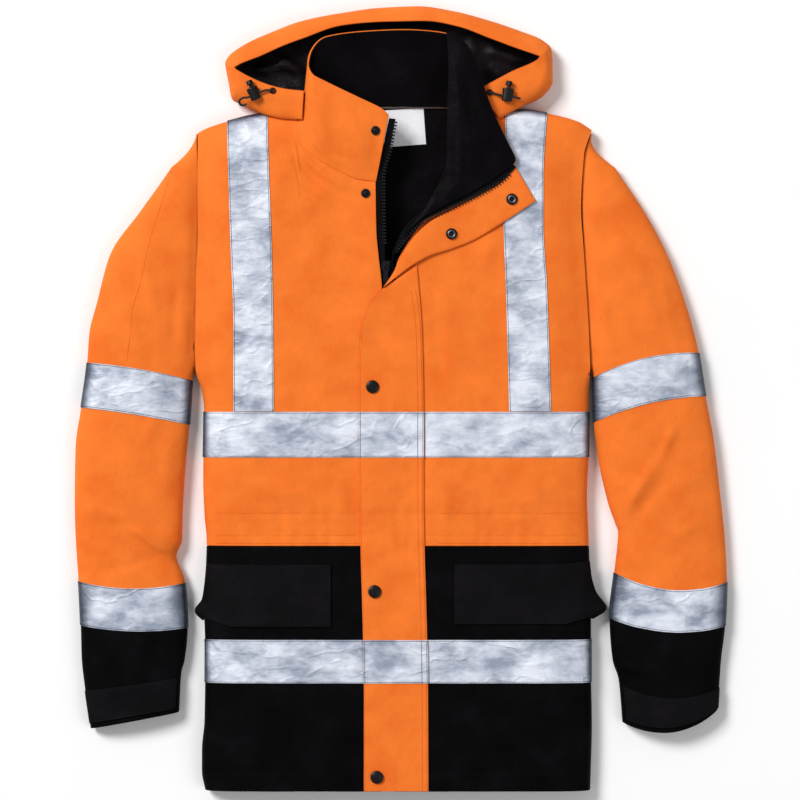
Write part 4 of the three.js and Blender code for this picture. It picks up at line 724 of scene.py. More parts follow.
def place_piece(name, mesh, materials, nodes):
    """Links a finished mesh as a piece that rides on the jacket and stands for its CAD nodes."""
    for material in materials:
        mesh.materials.append(material)
    piece = bpy.data.objects.new(name, mesh)
    bpy.context.scene.collection.objects.link(piece)
    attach(piece, "jacket")
    if nodes:
        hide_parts(*nodes)
    return piece


def cloth_piece(name, points, low, high, look, inner=None, slot=None, held=None, **how):
    """A cloth piece from a grid of points; it replaces the CAD node of its own name.

    look and inner are the finishes of its two sides. held is not used.
    """
    solid, faces, corner, side, outside[name] = wall(points, low, high, **how)
    mesh = make_mesh(name + "_cloth", solid, faces)
    lay_out(mesh, corner)
    if inner:
        mesh.polygons.foreach_set("material_index", side.astype(np.int32))
    looks = [finish[look]] + ([finish[inner]] if inner else [])
    piece = place_piece(name + "_cloth", mesh, looks, [name])


def tape_piece(name, points, lift=GAP, **how):
    """A reflective tape from a grid of points."""
    cloth_piece(name, points, lift, lift + TAPE, "tape", **how)


# Materials


class Maker:
    """Short way to make nodes and link them in one material."""

    def __init__(self, name):
        self.material = bpy.data.materials.new(name)
        self.material.use_nodes = True
        self.tree = self.material.node_tree
        self.shader = self.tree.nodes["Principled BSDF"]
        self.coords = self.node("TexCoord")

    def node(self, kind, **values):
        """A new node with its settings or inputs filled in."""
        made = self.tree.nodes.new("ShaderNode" + kind)
        for key, value in values.items():
            if hasattr(made, key):
                setattr(made, key, value)
            else:
                made.inputs[key.replace("_", " ")].default_value = value
        return made

    def shade(self, **values):
        """Fills in inputs of the shader."""
        for key, value in values.items():
            self.shader.inputs[key.replace("_", " ")].default_value = value

    def link(self, a, out, b, into):
        """Links a node's output to another's input."""
        self.tree.links.new(a.outputs[out], b.inputs[into])

    def noise(self, out, scale, detail=3.0, rough=0.55, stretch=None):
        """Noise on the named coordinates, stretched along the axes where asked."""
        noise = self.node("TexNoise", Scale=scale, Detail=detail, Roughness=rough)
        if stretch:
            mapping = self.node("Mapping")
            mapping.inputs["Scale"].default_value = stretch
            self.link(self.coords, out, mapping, "Vector")
            self.link(mapping, "Vector", noise, "Vector")
        else:
            self.link(self.coords, out, noise, "Vector")
        return noise

    def ramp(self, source, out, stops):
        """Colour ramp with (place, colour) stops."""
        ramp = self.node("ValToRGB")
        while len(ramp.color_ramp.elements) < len(stops):
            ramp.color_ramp.elements.new(0.5)
        for element, (spot, colour) in zip(ramp.color_ramp.elements, stops):
            element.position = spot
            element.color = (*colour, 1)
        self.link(source, out, ramp, "Fac")
        return ramp

    def multiply(self, a, out, ramp, factor):
        """A colour multiplied by a ramp's, as far as factor says."""
        both = self.node("Mix", data_type="RGBA", blend_type="MULTIPLY")
        both.inputs["Factor"].default_value = factor
        self.link(a, out, both, "A")
        self.link(ramp, "Color", both, "B")
        return both

    def bump(self, source, out, strength, distance, before=None):
        """Bump from a height, in metres of real relief, laid over an earlier bump."""
        bump = self.node("Bump", Strength=strength, Distance=distance)
        self.link(source, out, bump, "Height")
        if before:
            self.link(before, "Normal", bump, "Normal")
        return bump

    def math(self, operation, *sources):
        """A sum on other nodes' outputs."""
        made = self.node("Math", operation=operation)
        for place, (source, out) in enumerate(sources):
            self.link(source, out, made, place)
        return made

    def weave(self, pitch):
        """Plain weave: two crossed sets of threads, one over the other."""
        threads = []
        for direction in "XY":
            wave = self.node("TexWave", bands_direction=direction, Scale=FULL_TURN / pitch / 20)
            self.link(self.coords, "UV", wave, "Vector")
            threads.append((wave, "Fac"))
        return self.math("MULTIPLY", *threads)


def tint(colour, factor):
    """A colour made lighter or darker."""
    return tuple(min(1.0, c * factor) for c in colour)


def cloth_material(name, colour, shade, pitch, rough, sheen=0.0, painted_light_patches=0.10, crease=0.5, gloss=0.1):
    """Woven cloth: weave in the bump, patches of slightly different tone painted as soft pools of light and
    shade, fine crumpling and soft sheen.
    """
    m = Maker(name)
    # Painted light and shade: random patches go from the darker shade colour through the colour to a lighter
    # tint
    patches = m.noise("Object", 26.0, 4.0)
    tone = m.ramp(patches, "Fac", [(0.30, shade), (0.52, colour), (0.74, tint(colour, 1 + painted_light_patches))])
    slub = m.noise("UV", 900.0, 2.0, stretch=(1.0, 0.12, 1.0))
    grey = m.ramp(slub, "Fac", [(0.3, (0.55, 0.55, 0.55)), (0.7, (1, 1, 1))])
    m.link(m.multiply(tone, "Color", grey, 0.16), "Result", m.shader, "Base Color")
    fine = m.bump(m.weave(pitch), "Value", 0.25, 0.00012)
    crumples = m.noise("Object", 62.0, 5.0, 0.62)
    m.link(m.bump(crumples, "Fac", crease, 0.0016, fine), "Normal", m.shader, "Normal")
    roughness = m.node("MapRange", To_Min=rough - 0.08, To_Max=rough + 0.08)
    m.link(patches, "Fac", roughness, "Value")
    m.link(roughness, "Result", m.shader, "Roughness")
    m.shade(Specular_IOR_Level=gloss)
    if sheen:
        m.shade(Sheen_Weight=sheen, Sheen_Roughness=0.4)
    return m.material


def tape_material(name):
    """Silver tape: fine beads, painted light and shade on its crinkles, creases, and painted shade where it
    rolls down.
    """
    m = Maker(name)
    clouds = m.noise("Object", 24.0, 4.0, 0.6, stretch=(1.0, 1.7, 1.0))
    clouds.inputs["Distortion"].default_value = 0.15
    # Painted light and shade: lighter and darker patches on the crinkles, from the same noise as their bump
    painted_crinkle_light_and_shade = [(0.34, (0.29, 0.33, 0.42)), (0.49, (0.54, 0.58, 0.68)), (0.63, (0.76, 0.80, 0.89))]
    beads = m.noise("Object", 2600.0, 1.0, 0.5)
    speck = m.ramp(beads, "Fac", [(0.35, (0.6, 0.6, 0.62)), (0.6, (1, 1, 1))])
    grain = m.multiply(m.ramp(clouds, "Fac", painted_crinkle_light_and_shade), "Color", speck, 0.22)
    place = m.node("SeparateXYZ")
    m.link(m.coords, "Object", place, "Vector")
    height = m.node("MapRange", From_Max=0.04)
    m.link(place, "Z", height, "Value")
    # Painted shade: the colour darkens nearly to black below about 25 mm over the floor, where the tape rolls
    # down
    rolled_down_painted_shade = [(0.45, (0.05, 0.06, 0.08)), (0.54, (0.30, 0.32, 0.36)), (0.63, (1, 1, 1))]
    rolled = m.multiply(grain, "Result", m.ramp(height, "Result", rolled_down_painted_shade), 1.0)
    m.link(rolled, "Result", m.shader, "Base Color")
    fine = m.bump(beads, "Fac", 0.15, 0.0001)
    creased = m.noise("UV", 90.0, 4.0, 0.6, stretch=(0.5, 1.0, 1.0))
    across = m.bump(creased, "Fac", 0.6, 0.0016, fine)
    streaks = m.noise("Object", 17.0, 2.0, 0.5, stretch=(1.0, 1.9, 1.0))
    away = m.math("SUBTRACT", (streaks, "Fac"))
    away.inputs[1].default_value = 0.5
    sharp = m.ramp(m.math("ABSOLUTE", (away, "Value")), "Value", [(0.0, (1, 1, 1)), (0.045, (0, 0, 0))])
    crisp = m.bump(sharp, "Color", 0.6, 0.0013, across)
    m.link(m.bump(clouds, "Fac", 0.8, 0.0042, crisp), "Normal", m.shader, "Normal")
    m.shade(Roughness=0.45, Specular_IOR_Level=0.4)
    return m.material


def hard_material(name, colour, metallic, rough):
    """Moulded plastic or lacquered metal: fine grain in the bump and rubbed, lighter high spots."""
    m = Maker(name)
    specks = m.noise("Object", 1800.0)
    tone = m.ramp(specks, "Fac", [(0.35, tint(colour, 0.7)), (0.6, colour), (0.8, tint(colour, 1.9))])
    m.link(tone, "Color", m.shader, "Base Color")
    m.link(m.bump(specks, "Fac", 0.3, 0.00006), "Normal", m.shader, "Normal")
    m.shade(Metallic=metallic, Roughness=rough, Specular_IOR_Level=0.25)
    return m.material


def cord_material(name, colour):
    """Braided cord: two slanting sets of strands."""
    m = Maker(name)
    strands = []
    for slant in (1.0, -1.0):
        mapping = m.node("Mapping")
        mapping.inputs["Rotation"].default_value = (0, 0, slant * 0.7)
        m.link(m.coords, "UV", mapping, "Vector")
        wave = m.node("TexWave", Scale=FULL_TURN / 0.0011 / 20)
        m.link(mapping, "Vector", wave, "Vector")
        strands.append((wave, "Fac"))
    braid = m.math("MAXIMUM", *strands)
    # Painted shade and highlight: darker between the strands and lighter on them, following the braid's bump
    tone = m.ramp(braid, "Value", [(0.3, tint(colour, 0.5)), (0.8, tint(colour, 1.5))])
    m.link(tone, "Color", m.shader, "Base Color")
    m.link(m.bump(braid, "Value", 0.6, 0.00025), "Normal", m.shader, "Normal")
    m.shade(Roughness=0.7)
    return m.material


ORANGE = (0.87, 0.186, 0.0225)
BLACK = (0.0022, 0.0018, 0.0023)
SATIN = (0.0030, 0.0022, 0.0030)
OXFORD, FINE = 0.00062, 0.0003  # pitches of two weaves
finish = {
    "orange": cloth_material(
        "orange oxford cloth", ORANGE, (0.83, 0.152, 0.015), OXFORD, 0.72, 0.02, crease=0.45, gloss=0.12
    ),
    "black": cloth_material(
        "black oxford cloth", BLACK, tint(BLACK, 0.6), OXFORD, 0.62, painted_light_patches=0.8, crease=0.6, gloss=0.03
    ),
    # Painted light: the same black cloth made lighter for the pocket flaps and cuff tabs, standing in for the
    # light they catch
    "flap": cloth_material(
        "black oxford cloth of the pocket flaps", tint(BLACK, 1.9), tint(BLACK, 1.3), OXFORD, 0.6, painted_light_patches=0.5,
        crease=0.6, gloss=0.05
    ),
    "lining": cloth_material(
        "black satin lining", SATIN, tint(SATIN, 0.6), FINE, 0.46, painted_light_patches=0.9, crease=0.8, gloss=0.035
    ),
    # Painted sheen: a lighter, browner copy of the satin lining for the hood, standing in for the sheen on
    # its folds
    "hood lining": cloth_material(
        "black satin lining painted lighter and browner as sheen", (0.0075, 0.0046, 0.0058), (0.003, 0.002, 0.0026), FINE, 0.34, painted_light_patches=0.9,
        crease=0.9, gloss=0.12
    ),
    "tape": tape_material("silver reflective tape"),
    "zip": cloth_material(
        "black zip tape", (0.004, 0.004, 0.005), (0.002, 0.002, 0.003), 0.0007, 0.7, gloss=0.04
    ),
    "label": cloth_material(
        "white satin label", (0.86, 0.86, 0.89), (0.8, 0.8, 0.84), 0.00035, 0.5, 0.1, crease=0.3, gloss=0.3
    ),
    "orange thread": cloth_material("orange thread", (0.66, 0.095, 0.010), (0.55, 0.07, 0.008), FINE, 0.6),
    "black thread": cloth_material("black thread", (0.008, 0.007, 0.009), (0.005, 0.004, 0.005), FINE, 0.6),
    "grey thread": cloth_material("grey thread", (0.030, 0.033, 0.045), (0.020, 0.022, 0.030), FINE, 0.6),
    "metal": hard_material("black lacquered metal", (0.010, 0.010, 0.012), 0.3, 0.34),
    "steel": hard_material("bare steel", (0.17, 0.17, 0.18), 1.0, 0.42),
    "plastic": hard_material("black moulded plastic", (0.004, 0.004, 0.0045), 0.0, 0.42),
    "teeth": hard_material("black moulded teeth", (0.010, 0.010, 0.012), 0.0, 0.35),
    "cord": cord_material("black braided cord", (0.004, 0.004, 0.005)),
}
SLOT = {
    "orange": "orange_cloth", "black": "black_cloth", "flap": "black_cloth", "lining": "lining_cloth",
    "hood lining": "lining_cloth", "tape": "reflective_tape", "zip": "zip_tape", "label": "label_cloth",
}

# Camera

PIXEL = 1.155 * MM  # width of one of the photo's 800 pixels at the height of the fronts
CAMERA_HIGH = 4.0


def straight_down_camera():
    """Camera straight above the jacket, whose square frame is the photo's at the height of the fronts."""
    data = bpy.data.cameras.new("camera")
    data.sensor_width = 36
    data.lens = 36 * CAMERA_HIGH / (800 * PIXEL)
    data.clip_end = 20
    camera = bpy.data.objects.new("camera", data)
    camera.location = ((400 - 401.2) * PIXEL, (398 - 400) * PIXEL, CAMERA_HIGH + 0.025)
    bpy.context.scene.collection.objects.link(camera)
    bpy.context.scene.camera = camera


straight_down_camera()

# Drawcords


def rounded_line(table, count):
    """Even points along a smooth curve through the table's points."""
    p = np.stack([table["x"], table["y"], table["z"]], axis=1)
    ends = np.concatenate([[2 * p[0] - p[1]], p, [2 * p[-1] - p[-2]]])
    fine = []
    for k in range(len(p) - 1):
        p0, p1, p2, p3 = ends[k : k + 4]
        gap = np.sqrt(np.linalg.norm(np.diff(ends[k : k + 4], axis=0), axis=1))
        t0, t1, t2, t3 = np.concatenate([[0], np.cumsum(gap)])
        t = np.linspace(t1, t2, 12, endpoint=False)[:, None]
        a1 = (t1 - t) / (t1 - t0) * p0 + (t - t0) / (t1 - t0) * p1
        a2 = (t2 - t) / (t2 - t1) * p1 + (t - t1) / (t2 - t1) * p2
        a3 = (t3 - t) / (t3 - t2) * p2 + (t - t2) / (t3 - t2) * p3
        b1 = (t2 - t) / (t2 - t0) * a1 + (t - t0) / (t2 - t0) * a2
        b2 = (t3 - t) / (t3 - t1) * a2 + (t - t1) / (t3 - t1) * a3
        fine.append((t2 - t) / (t2 - t1) * b1 + (t - t1) / (t2 - t1) * b2)
    fine = np.concatenate(fine + [p[-1:]])
    way = way_along(fine)
    return at_way(np.linspace(0, way[-1], count), way, fine)


def line_frames(line):
    """Side and upward vectors along a line."""
    ends = np.concatenate([line[:1], line, line[-1:]])
    ahead = tangent(ends[:-2], line, ends[2:])
    side = unit(np.cross(ahead, (0.02, 0.03, 1.0)))
    for k in range(1, len(side)):
        level = side[k - 1] - ahead[k] * (side[k - 1] @ ahead[k])
        side[k] = level / np.linalg.norm(level)
    return side, np.cross(side, ahead)


def drawcord(hand):
    """A round braided tube along the cord's line, with its two ends rounded over."""
    line = rounded_line(CORDS[hand], 72)
    side, up = line_frames(line)
    ends = np.array([0.02, 0.55, 0.85])
    radius = np.full(len(line), CORD_D / 2)
    radius[: len(ends)] *= ends
    radius[-len(ends) :] *= ends[::-1]
    turn = np.linspace(0, FULL_TURN, 13)[:-1]
    ring = side[:, None] * np.cos(turn)[:, None] + up[:, None] * np.sin(turn)[:, None]
    rings = line[:, None] + ring * radius[:, None, None]
    mesh = tube_mesh("drawcord_" + NAME[hand], rings)
    m, n = rings.shape[:2]
    way = way_along(line)
    spots = np.stack(np.meshgrid(np.linspace(0, math.pi * CORD_D, n + 1), way), axis=-1).reshape(-1, 2)
    corner = spots[quads(np.arange(m * (n + 1)).reshape(m, n + 1))[:, TUBE_CORNERS]]
    lay_out(mesh, np.concatenate([corner.reshape(-1, 2), np.zeros((2 * n, 2))]))
    side_name = NAME[hand]
    piece = place_piece("drawcord_" + side_name, mesh, [finish["cord"]], ["cord_" + side_name])


for hand in (RIGHT, LEFT):
    drawcord(hand)

# Fronts, back and sleeves

LOWER = (-454.0, SEAM_Y - GAP)
CUFF_SEAM = 12.5  # station of the seam between a sleeve's orange and black parts
for hand in (RIGHT, LEFT):
    side = NAME[hand]
    turned = hand == LEFT
    grid = upper_grid(hand)
    cloth_piece("front_upper_" + side, grid, -SHELL, 0, "orange", "lining", held="laid", turn=turned)
    grid = front_grid(hand, span(*LOWER), EDGE[hand])
    cloth_piece("front_lower_" + side, grid, -SHELL, 0, "black", "lining", held="laid", turn=turned)
    for part, look, stations in (("", "orange", (0, CUFF_SEAM)), ("lower_", "black", (CUFF_SEAM + 0.01, 16))):
        name, grid = "sleeve_" + part + side, sleeve_grid(hand, *stations)
        cloth_piece(name, grid, -SHELL, 0, look, "lining", held="laid", ring=True, turn=turned)
    for band, stations in SLEEVE_BANDS.items():
        grid = sleeve_grid(hand, *stations)
        tape_piece("tape_sleeve_%s_%s" % (band, side), grid, ring=True, turn=turned, stitched=True)
    grid = sleeve_grid(hand, 15.12, 15.88, (1, 8))
    cloth_piece("cuff_tab_" + side, grid, GAP, GAP + SHELL, "flap", held="laid", turn=turned, stitched=True)

for name, low, high, look in (("back_upper", SEAM_Y + GAP, None, "orange"), ("back_lower", *LOWER, "black")):
    cloth_piece(name, back_grid(low, high), 0, SHELL, "lining", look, slot=SLOT[look], held="laid", turn=True)

# Reflective tapes on the body

for name, (low, high) in BAND.items():
    for hand in (RIGHT, LEFT):
        grid = front_grid(hand, span(low, high), FLAP_EDGE[hand])
        tape_piece("tape_%s_%s" % (name, NAME[hand]), grid, turn=hand == LEFT, stitched=True)
    levels = span(low, high, 8)
    right, left = (side_at(hand, levels) - hand * (tuck_at(levels) + 0.8) for hand in (RIGHT, LEFT))
    x = mix(right[:, None], left[:, None], np.linspace(0, 1, 30))
    tape_piece("tape_back_" + name, point(x, levels[:, None], REST))


def shoulder_tape_grid(hand):
    """A tape from the chest tape up over the front and onto the shoulder's edge."""
    table = SHOULDER_TAPES[hand]
    across = np.linspace(0, 1, 14)
    share = np.concatenate([np.linspace(0, 0.96, 96), np.linspace(0.967, 1, 9)])[:, None]
    y = np.full((len(share), len(across)), FIRST_GUESS)
    for _ in range(8):
        x = mix(read(table, "y", "a", y), read(table, "y", "b", y), across)
        y = mix(-15.4, read(TOP[hand], "x", "y", x), share)
    return front_point(hand, -hand * (x - side_at(hand, y)), y)


for hand in (RIGHT, LEFT):
    tape_piece("tape_shoulder_" + NAME[hand], shoulder_tape_grid(hand), GAP + 0.2, turn=True, stitched=True)
    a, b = BACK_TAPES[hand]
    x = np.linspace(a + 0.4, b - 0.4, 8)
    y = mix(-15.6, (shoulder_line(hand, x) - 12.5)[None, :], np.linspace(0, 1, 40)[:, None])
    tape_piece("tape_back_" + NAME[hand], point(x[None, :], y, REST))

# Storm flap


def flap_grid(low, high, trim=0.0):
    """The storm flap between two heights of its free edge, lying over the closed fronts."""
    order = FLAP["fy"]
    key = span(low, high)[:, None]
    across = np.linspace(trim, 1 - trim, 24)[None, :]
    x = mix(smooth(order, FLAP["fx"], key), smooth(order, FLAP["gx"], key), across)
    y = mix(key, smooth(order, FLAP["gy"], key), across)
    return point(x, y, body_top(x, y) + FLAP_Z + SHELL)


grid = flap_grid(-453.5, 126)
cloth_piece("storm_flap", grid, -SHELL, 0, "orange", "orange", held="laid", turn=True, stitched=True)
for name, (low, high) in BAND.items():
    tape_piece("tape_%s_flap" % name, flap_grid(low, high, -0.004), turn=True, stitched=True)


def front_top(x, y):
    """Height of the left front's outside under a point."""
    return front_point(LEFT, side_at(LEFT, y) - x, y)[..., 2]


def flap_top_grid():
    """The flap's turned-back top: from its free edge below to the zip above."""
    index = np.linspace(0, len(FLAP_TOP["lx"]) - 1, 64)[:, None]
    across = np.linspace(0, 1, 16)[None, :]
    x, y = (between(FLAP_TOP, "l" + c, "u" + c, index, across) for c in "xy")
    swell = 0.5 * np.sin(math.pi * across) * np.clip(index / 3, 0, 1)
    return point(x, y, front_top(x, y) + at_row(FLAP_TOP, "dz", index) + SHELL + swell)


cloth_piece("storm_flap_top", flap_top_grid(), -SHELL, 0, "orange", held="laid", stitched=True)

# Lapel and zips


def lapel_base(x, y):
    """Height that the lapel rests at: on the front, then level on past the shoulder and onto the hood."""
    return mix(body_top(x, np.minimum(y, 250)), 36.5, ease((y - 250) / 80)) + 1.6


def lapel_edges(index):
    """The lapel's inner and outer edge at a row number, and its width there."""
    lx, ly, rx, ry = (at_row(LAPEL, column, index) for column in ("lx", "ly", "rx", "ry"))
    return lx, ly, rx, ry, np.hypot(rx - lx, ry - ly)


def lapel_grid(first, last_in, lift, folds, fold=0.0):
    """The lapel from a row up, its outer edge moved in by last_in, with soft standing folds."""
    index = np.linspace(first, len(LAPEL["lx"]) - 1, 90)[:, None]
    lx, ly, rx, ry, wide = lapel_edges(index)
    f = np.linspace(fold, 1, 34)[None, :] * (1 - np.minimum(last_in(index) / wide, 0.55))
    x, y = mix(lx, rx, f), mix(ly, ry, f)
    crown = 2.5 * np.sin(math.pi * np.clip(f, 0, 1)) * np.clip(wide / 60, 0, 1)
    edge = np.clip(np.minimum(f, f.max(axis=1, keepdims=True) - f) * wide / 6, 0, 1)
    standing = folds * edge * (creases(LAPEL_CREASES, x, y) + 0.5 * crumple(x, y, 34, 21))
    return point(x, y, lapel_base(x, y) + lift + crown + standing)


def shell_inset(index):
    """The lapel's outer cloth stops short at its foot."""
    return np.where(index < 2.5, 4, 0.5)


def lining_inset(index):
    """The lapel's lining leaves the zip free below."""
    return np.clip((6 - index) * 8, 0, 8)


grid = lapel_grid(2, shell_inset, 1.4, 0.0, 0.05)
cloth_piece("lapel_shell", grid, -LINING, 0, "orange", held="folded", turn=True)
grid = lapel_grid(1, lining_inset, 6.5, 0.8)
cloth_piece("lapel_lining", grid, -LINING, 0, "lining", held="folded", turn=True, stitched=True)

along = np.linspace(0, len(ZIP_RIGHT["ax"]) - 1, 240)[:, None]
across = np.linspace(0, 1, 5)[None, :]
x, y = (between(ZIP_RIGHT, "a" + c, "b" + c, along, across) for c in "xy")
zip_right_grid = point(x, y, at_row(ZIP_RIGHT, "z", along) + 0 * across)
cloth_piece("zip_right", zip_right_grid, -LINING, 0, "zip", turn=True)


def zip_left_rows():
    """The left zip: its closed part, then along the lapel's outer edge, 2.6 mm proud of it."""
    along = np.linspace(0, len(ZIP_LEFT["ax"]) - 1, 180)[:, None]
    below = point(*(between(ZIP_LEFT, "a" + c, "b" + c, along, across) for c in "xyz"))
    _, _, rx, ry, wide = lapel_edges(np.linspace(0, 5.7, 90)[:, None])
    ahead_x, ahead_y = np.gradient(rx[:, 0])[:, None], np.gradient(ry[:, 0])[:, None]
    step = np.hypot(ahead_x, ahead_y)
    out = mix(2.6, -np.minimum(7, 0.6 * wide), across)
    x, y = rx + out * ahead_y / step, ry - out * ahead_x / step
    return np.concatenate([below, point(x, y, lapel_base(x, y) + 3.3)])


zip_left_grid = zip_left_rows()
cloth_piece("zip_left", zip_left_grid, -1.2, 0, "zip", turn=True)

# Collar, neck lining and label


def collar_point(index, f):
    """A point of the collar: row number from the right front edge round, share of the way up."""
    x, y = (between(COLLAR, "s" + c, "r" + c, index, f) for c in "xy")
    bulge = np.sin(math.pi * f) * mix(-3, 4, np.clip((6 - index) / 2, 0, 1))
    fold = creases(COLLAR_CREASES, x, y) + 0.5 * crumple(x, y, 40, 31)
    inside = np.clip(8 * f, 0, 1) * np.clip(8 * (1 - f), 0, 1)
    level = between(COLLAR, "sz", "rz", index, f)
    return point(x, y, level + bulge + fold * inside * np.clip((7 - index) / 2, 0, 1))


index = np.linspace(0, len(COLLAR["sx"]) - 1, 150)[None, :]
lap = -0.035 * np.clip(7.5 - index, 0, 1)  # the seam's turned edge laps over the front's
f = np.linspace(0, 1, 30)[:, None]
grid = collar_point(index, mix(lap, 1, f))
reach = np.exp(-(((index - 5.8) / 0.9) ** 2)) * (1 - f) ** 6  # and reaches out to the shoulder's end
grid[..., 0] -= 5.5 * reach
grid[..., 2] += 1.5 * reach
cloth_piece("collar_shell", grid, -SHELL, 0, "orange", held="draped", stitched=True)
grid = collar_point(index, np.linspace(0.0, 0.995, 26)[:, None])
cloth_piece("collar_lining", grid, -SHELL - GAP - LINING, -SHELL - GAP, "lining", held="draped")

y = span(60, 335.8, 6)[:, None]
x = np.linspace(-112, 94, 40)[None, :]
fold = 0.8 * (1 + crumple(x, y, 40, 41)) * np.sin(math.pi * (x + 112) / 206) * np.clip((335 - y) / 30, 0, 1)
grid = point(x, y, SHELL + GAP + 0.5 * np.clip(fold, 0, 1.6))
cloth_piece("back_lining", grid, 0, LINING, "lining", held="laid", turn=True)

f = np.linspace(0, 1, 12)[None, :]
ax, bx, ay, by = (mix(LABEL[c][0], LABEL[c][1], f.T) for c in ("ax", "bx", "y", "by"))
grid = point(mix(ax, bx, f), mix(ay, by, f), 4.7 + 0.25 * np.sin(math.pi * f))
cloth_piece("neck_label", grid, 0, 0.6, "label", turn=True, stitched=True)

# Hood

hood_index = np.linspace(0, len(HOOD["ox"]) - 1, 250)
hood = {column: at_row(HOOD, column, hood_index) for column in HOOD}  # its columns all round the rim
FLOOR_WALL, LINING_WALL = 11.6, 12  # heights at which FLOOR and LINING_FLOOR end


def brim_point(f):
    """A point of the brim: share of the way in from the hood's outline to the edge of its mouth."""
    long = np.hypot(hood["mx"] - hood["ox"], hood["my"] - hood["oy"])
    rise = read(BRIM, "d", "rise", f * long) / read(BRIM, "d", "rise", long)
    shares_in = {"x": f, "y": f, "z": rise}
    return point(*(mix(hood["o" + c], hood["m" + c], share) for c, share in shares_in.items()))


grid = brim_point(np.concatenate([[0, 0.02, 0.05, 0.09, 0.14], np.linspace(0.2, 1, 14)])[:, None])
x, y = grid[..., 0], grid[..., 1]
inward = np.sin(math.pi * np.linspace(0, 1, len(grid)))[:, None]
grid[..., 2] += inward * (creases(BRIM_CREASES, x, y) + 0.45 * crumple(x, y, 38, 51))
cloth_piece("hood_brim", grid, -SHELL, 0, "orange", "orange", held="draped", stitched=True)


def hood_floor(inset, z, shares_out, table, steps):
    """Rows of the hood's floor from the neck out to its outline moved in by inset, then up its low wall."""
    px, py = hood["px"], hood["py"]
    tx, ty = np.gradient(px), np.gradient(py)
    turn = np.hypot(tx, ty)
    ox, oy = px + inset * ty / turn, py - inset * tx / turn
    t = hood_index / (len(HOOD["ox"]) - 1)
    nx, ny = mix(-62, 58, t), 336.5 + inset + 5 * np.sin(math.pi * t)
    long = np.hypot(ox - nx, oy - ny)
    out = [(share * (1 - 13 / long), z) for share in shares_out]
    out += [(1 - d / long, smooth(table["d"][::-1], table["z"][::-1], d)) for d in steps]
    return [point(mix(nx, ox, f), mix(ny, oy, f), level) for f, level in out]


grid = np.array(hood_floor(0, 0, np.linspace(0, 1, 14)[:-1], FLOOR, (12, 9, 6, 4, 2.2, 0.9, 0.3, 0)))
up = grid[..., 2] / FLOOR_WALL  # the wall climbs to the brim's edge all round
grid[..., 0] += up * (hood["ox"] - hood["px"])
grid[..., 1] += up * (hood["oy"] - hood["py"])
grid[..., 2] = up * (hood["oz"] - 0.4)
cloth_piece("hood_shell", grid, -SHELL, 0, "orange", "orange", held="laid", low_side=True)
inside = hood_floor(4, 2.4, np.linspace(0.02, 1, 28)[:-1], LINING_FLOOR, (11, 8, 5, 3.4, 1.8, 0.6, 0))
inside += [brim_point(f) - (0, 0, SHELL + 1.7) for f in (0.45, 0.55, 0.65, 0.75, 0.86, 0.97)]
grid = np.array(inside)
x, y = grid[..., 0], grid[..., 1]
fold = creases(HOOD_CREASES, x, y) + 0.8 * (1 + crumple(x, y, 30, 61))
grid[..., 2] += np.clip((LINING_WALL - grid[..., 2]) / 6, 0, 1) * np.clip(fold, 0, 6)
cloth_piece("hood_lining", grid, -LINING, 0, "hood lining", held="draped")

# Pocket flaps


def pocket_flap_grid(hand):
    """A flap on a lower front: flat on the panel, then off its side to a free outer edge."""
    table, inner = POCKETS[hand]
    index = np.linspace(0, len(table["y"]) - 1, 28)[:, None]
    low = at_row(table, "low", index)
    q = mix(np.abs(inner - side_at(hand, low)), 7, np.linspace(0, 1, 34)[None, :])
    grid = front_point(hand, q, mix(at_row(table, "y", index), low, np.clip((q - 7) / 24, 0, 1)))
    grid[..., 2] += 0.35
    edge = point(*(at_row(table, column, index) for column in "xyz"))
    return np.concatenate([grid] + [mix(grid[:, -1:], edge, t) for t in (0.25, 0.5, 0.75, 1.0)], axis=1)


for hand in (RIGHT, LEFT):
    cloth_piece("pocket_flap_" + NAME[hand], pocket_flap_grid(hand), GAP, GAP + SHELL, "flap", held="laid",
                turn=hand == RIGHT, stitched=True)

# Hardware

UP = (0, 0, 1)


def lathe(node, ending, profile, at, lift, look="metal", up=UP):
    """A profile of radius and height turned about the line that stands on a point, its corners eased."""
    p = np.array(profile, float)
    p = np.concatenate([p[:1]] + [mix(a, b, np.linspace(0, 1, 7)[1:, None]) for a, b in zip(p[:-1], p[1:])])
    soft = p.copy()
    soft[1:-1] = (p[:-2] + 2 * p[1:-1] + p[2:]) / 4
    turn = np.linspace(0, FULL_TURN, 41)[:-1]
    up = np.array(up, float) / np.linalg.norm(up)
    one = np.cross(up, (0.0, 1.0, 0.0))
    one /= np.linalg.norm(one)
    ring = one * np.cos(turn)[:, None] + np.cross(up, one) * np.sin(turn)[:, None]
    points = np.array(at, float) + up * lift + soft[:, None, :1] * ring[None] + soft[:, None, 1:] * up
    hollow = profile[0][0] > 0.01
    mesh = tube_mesh(node + ending, points[:-1] if hollow else points[1:-1], hollow)
    fix_faces(mesh)
    place_piece(node + ending, mesh, [finish[look]], [node])


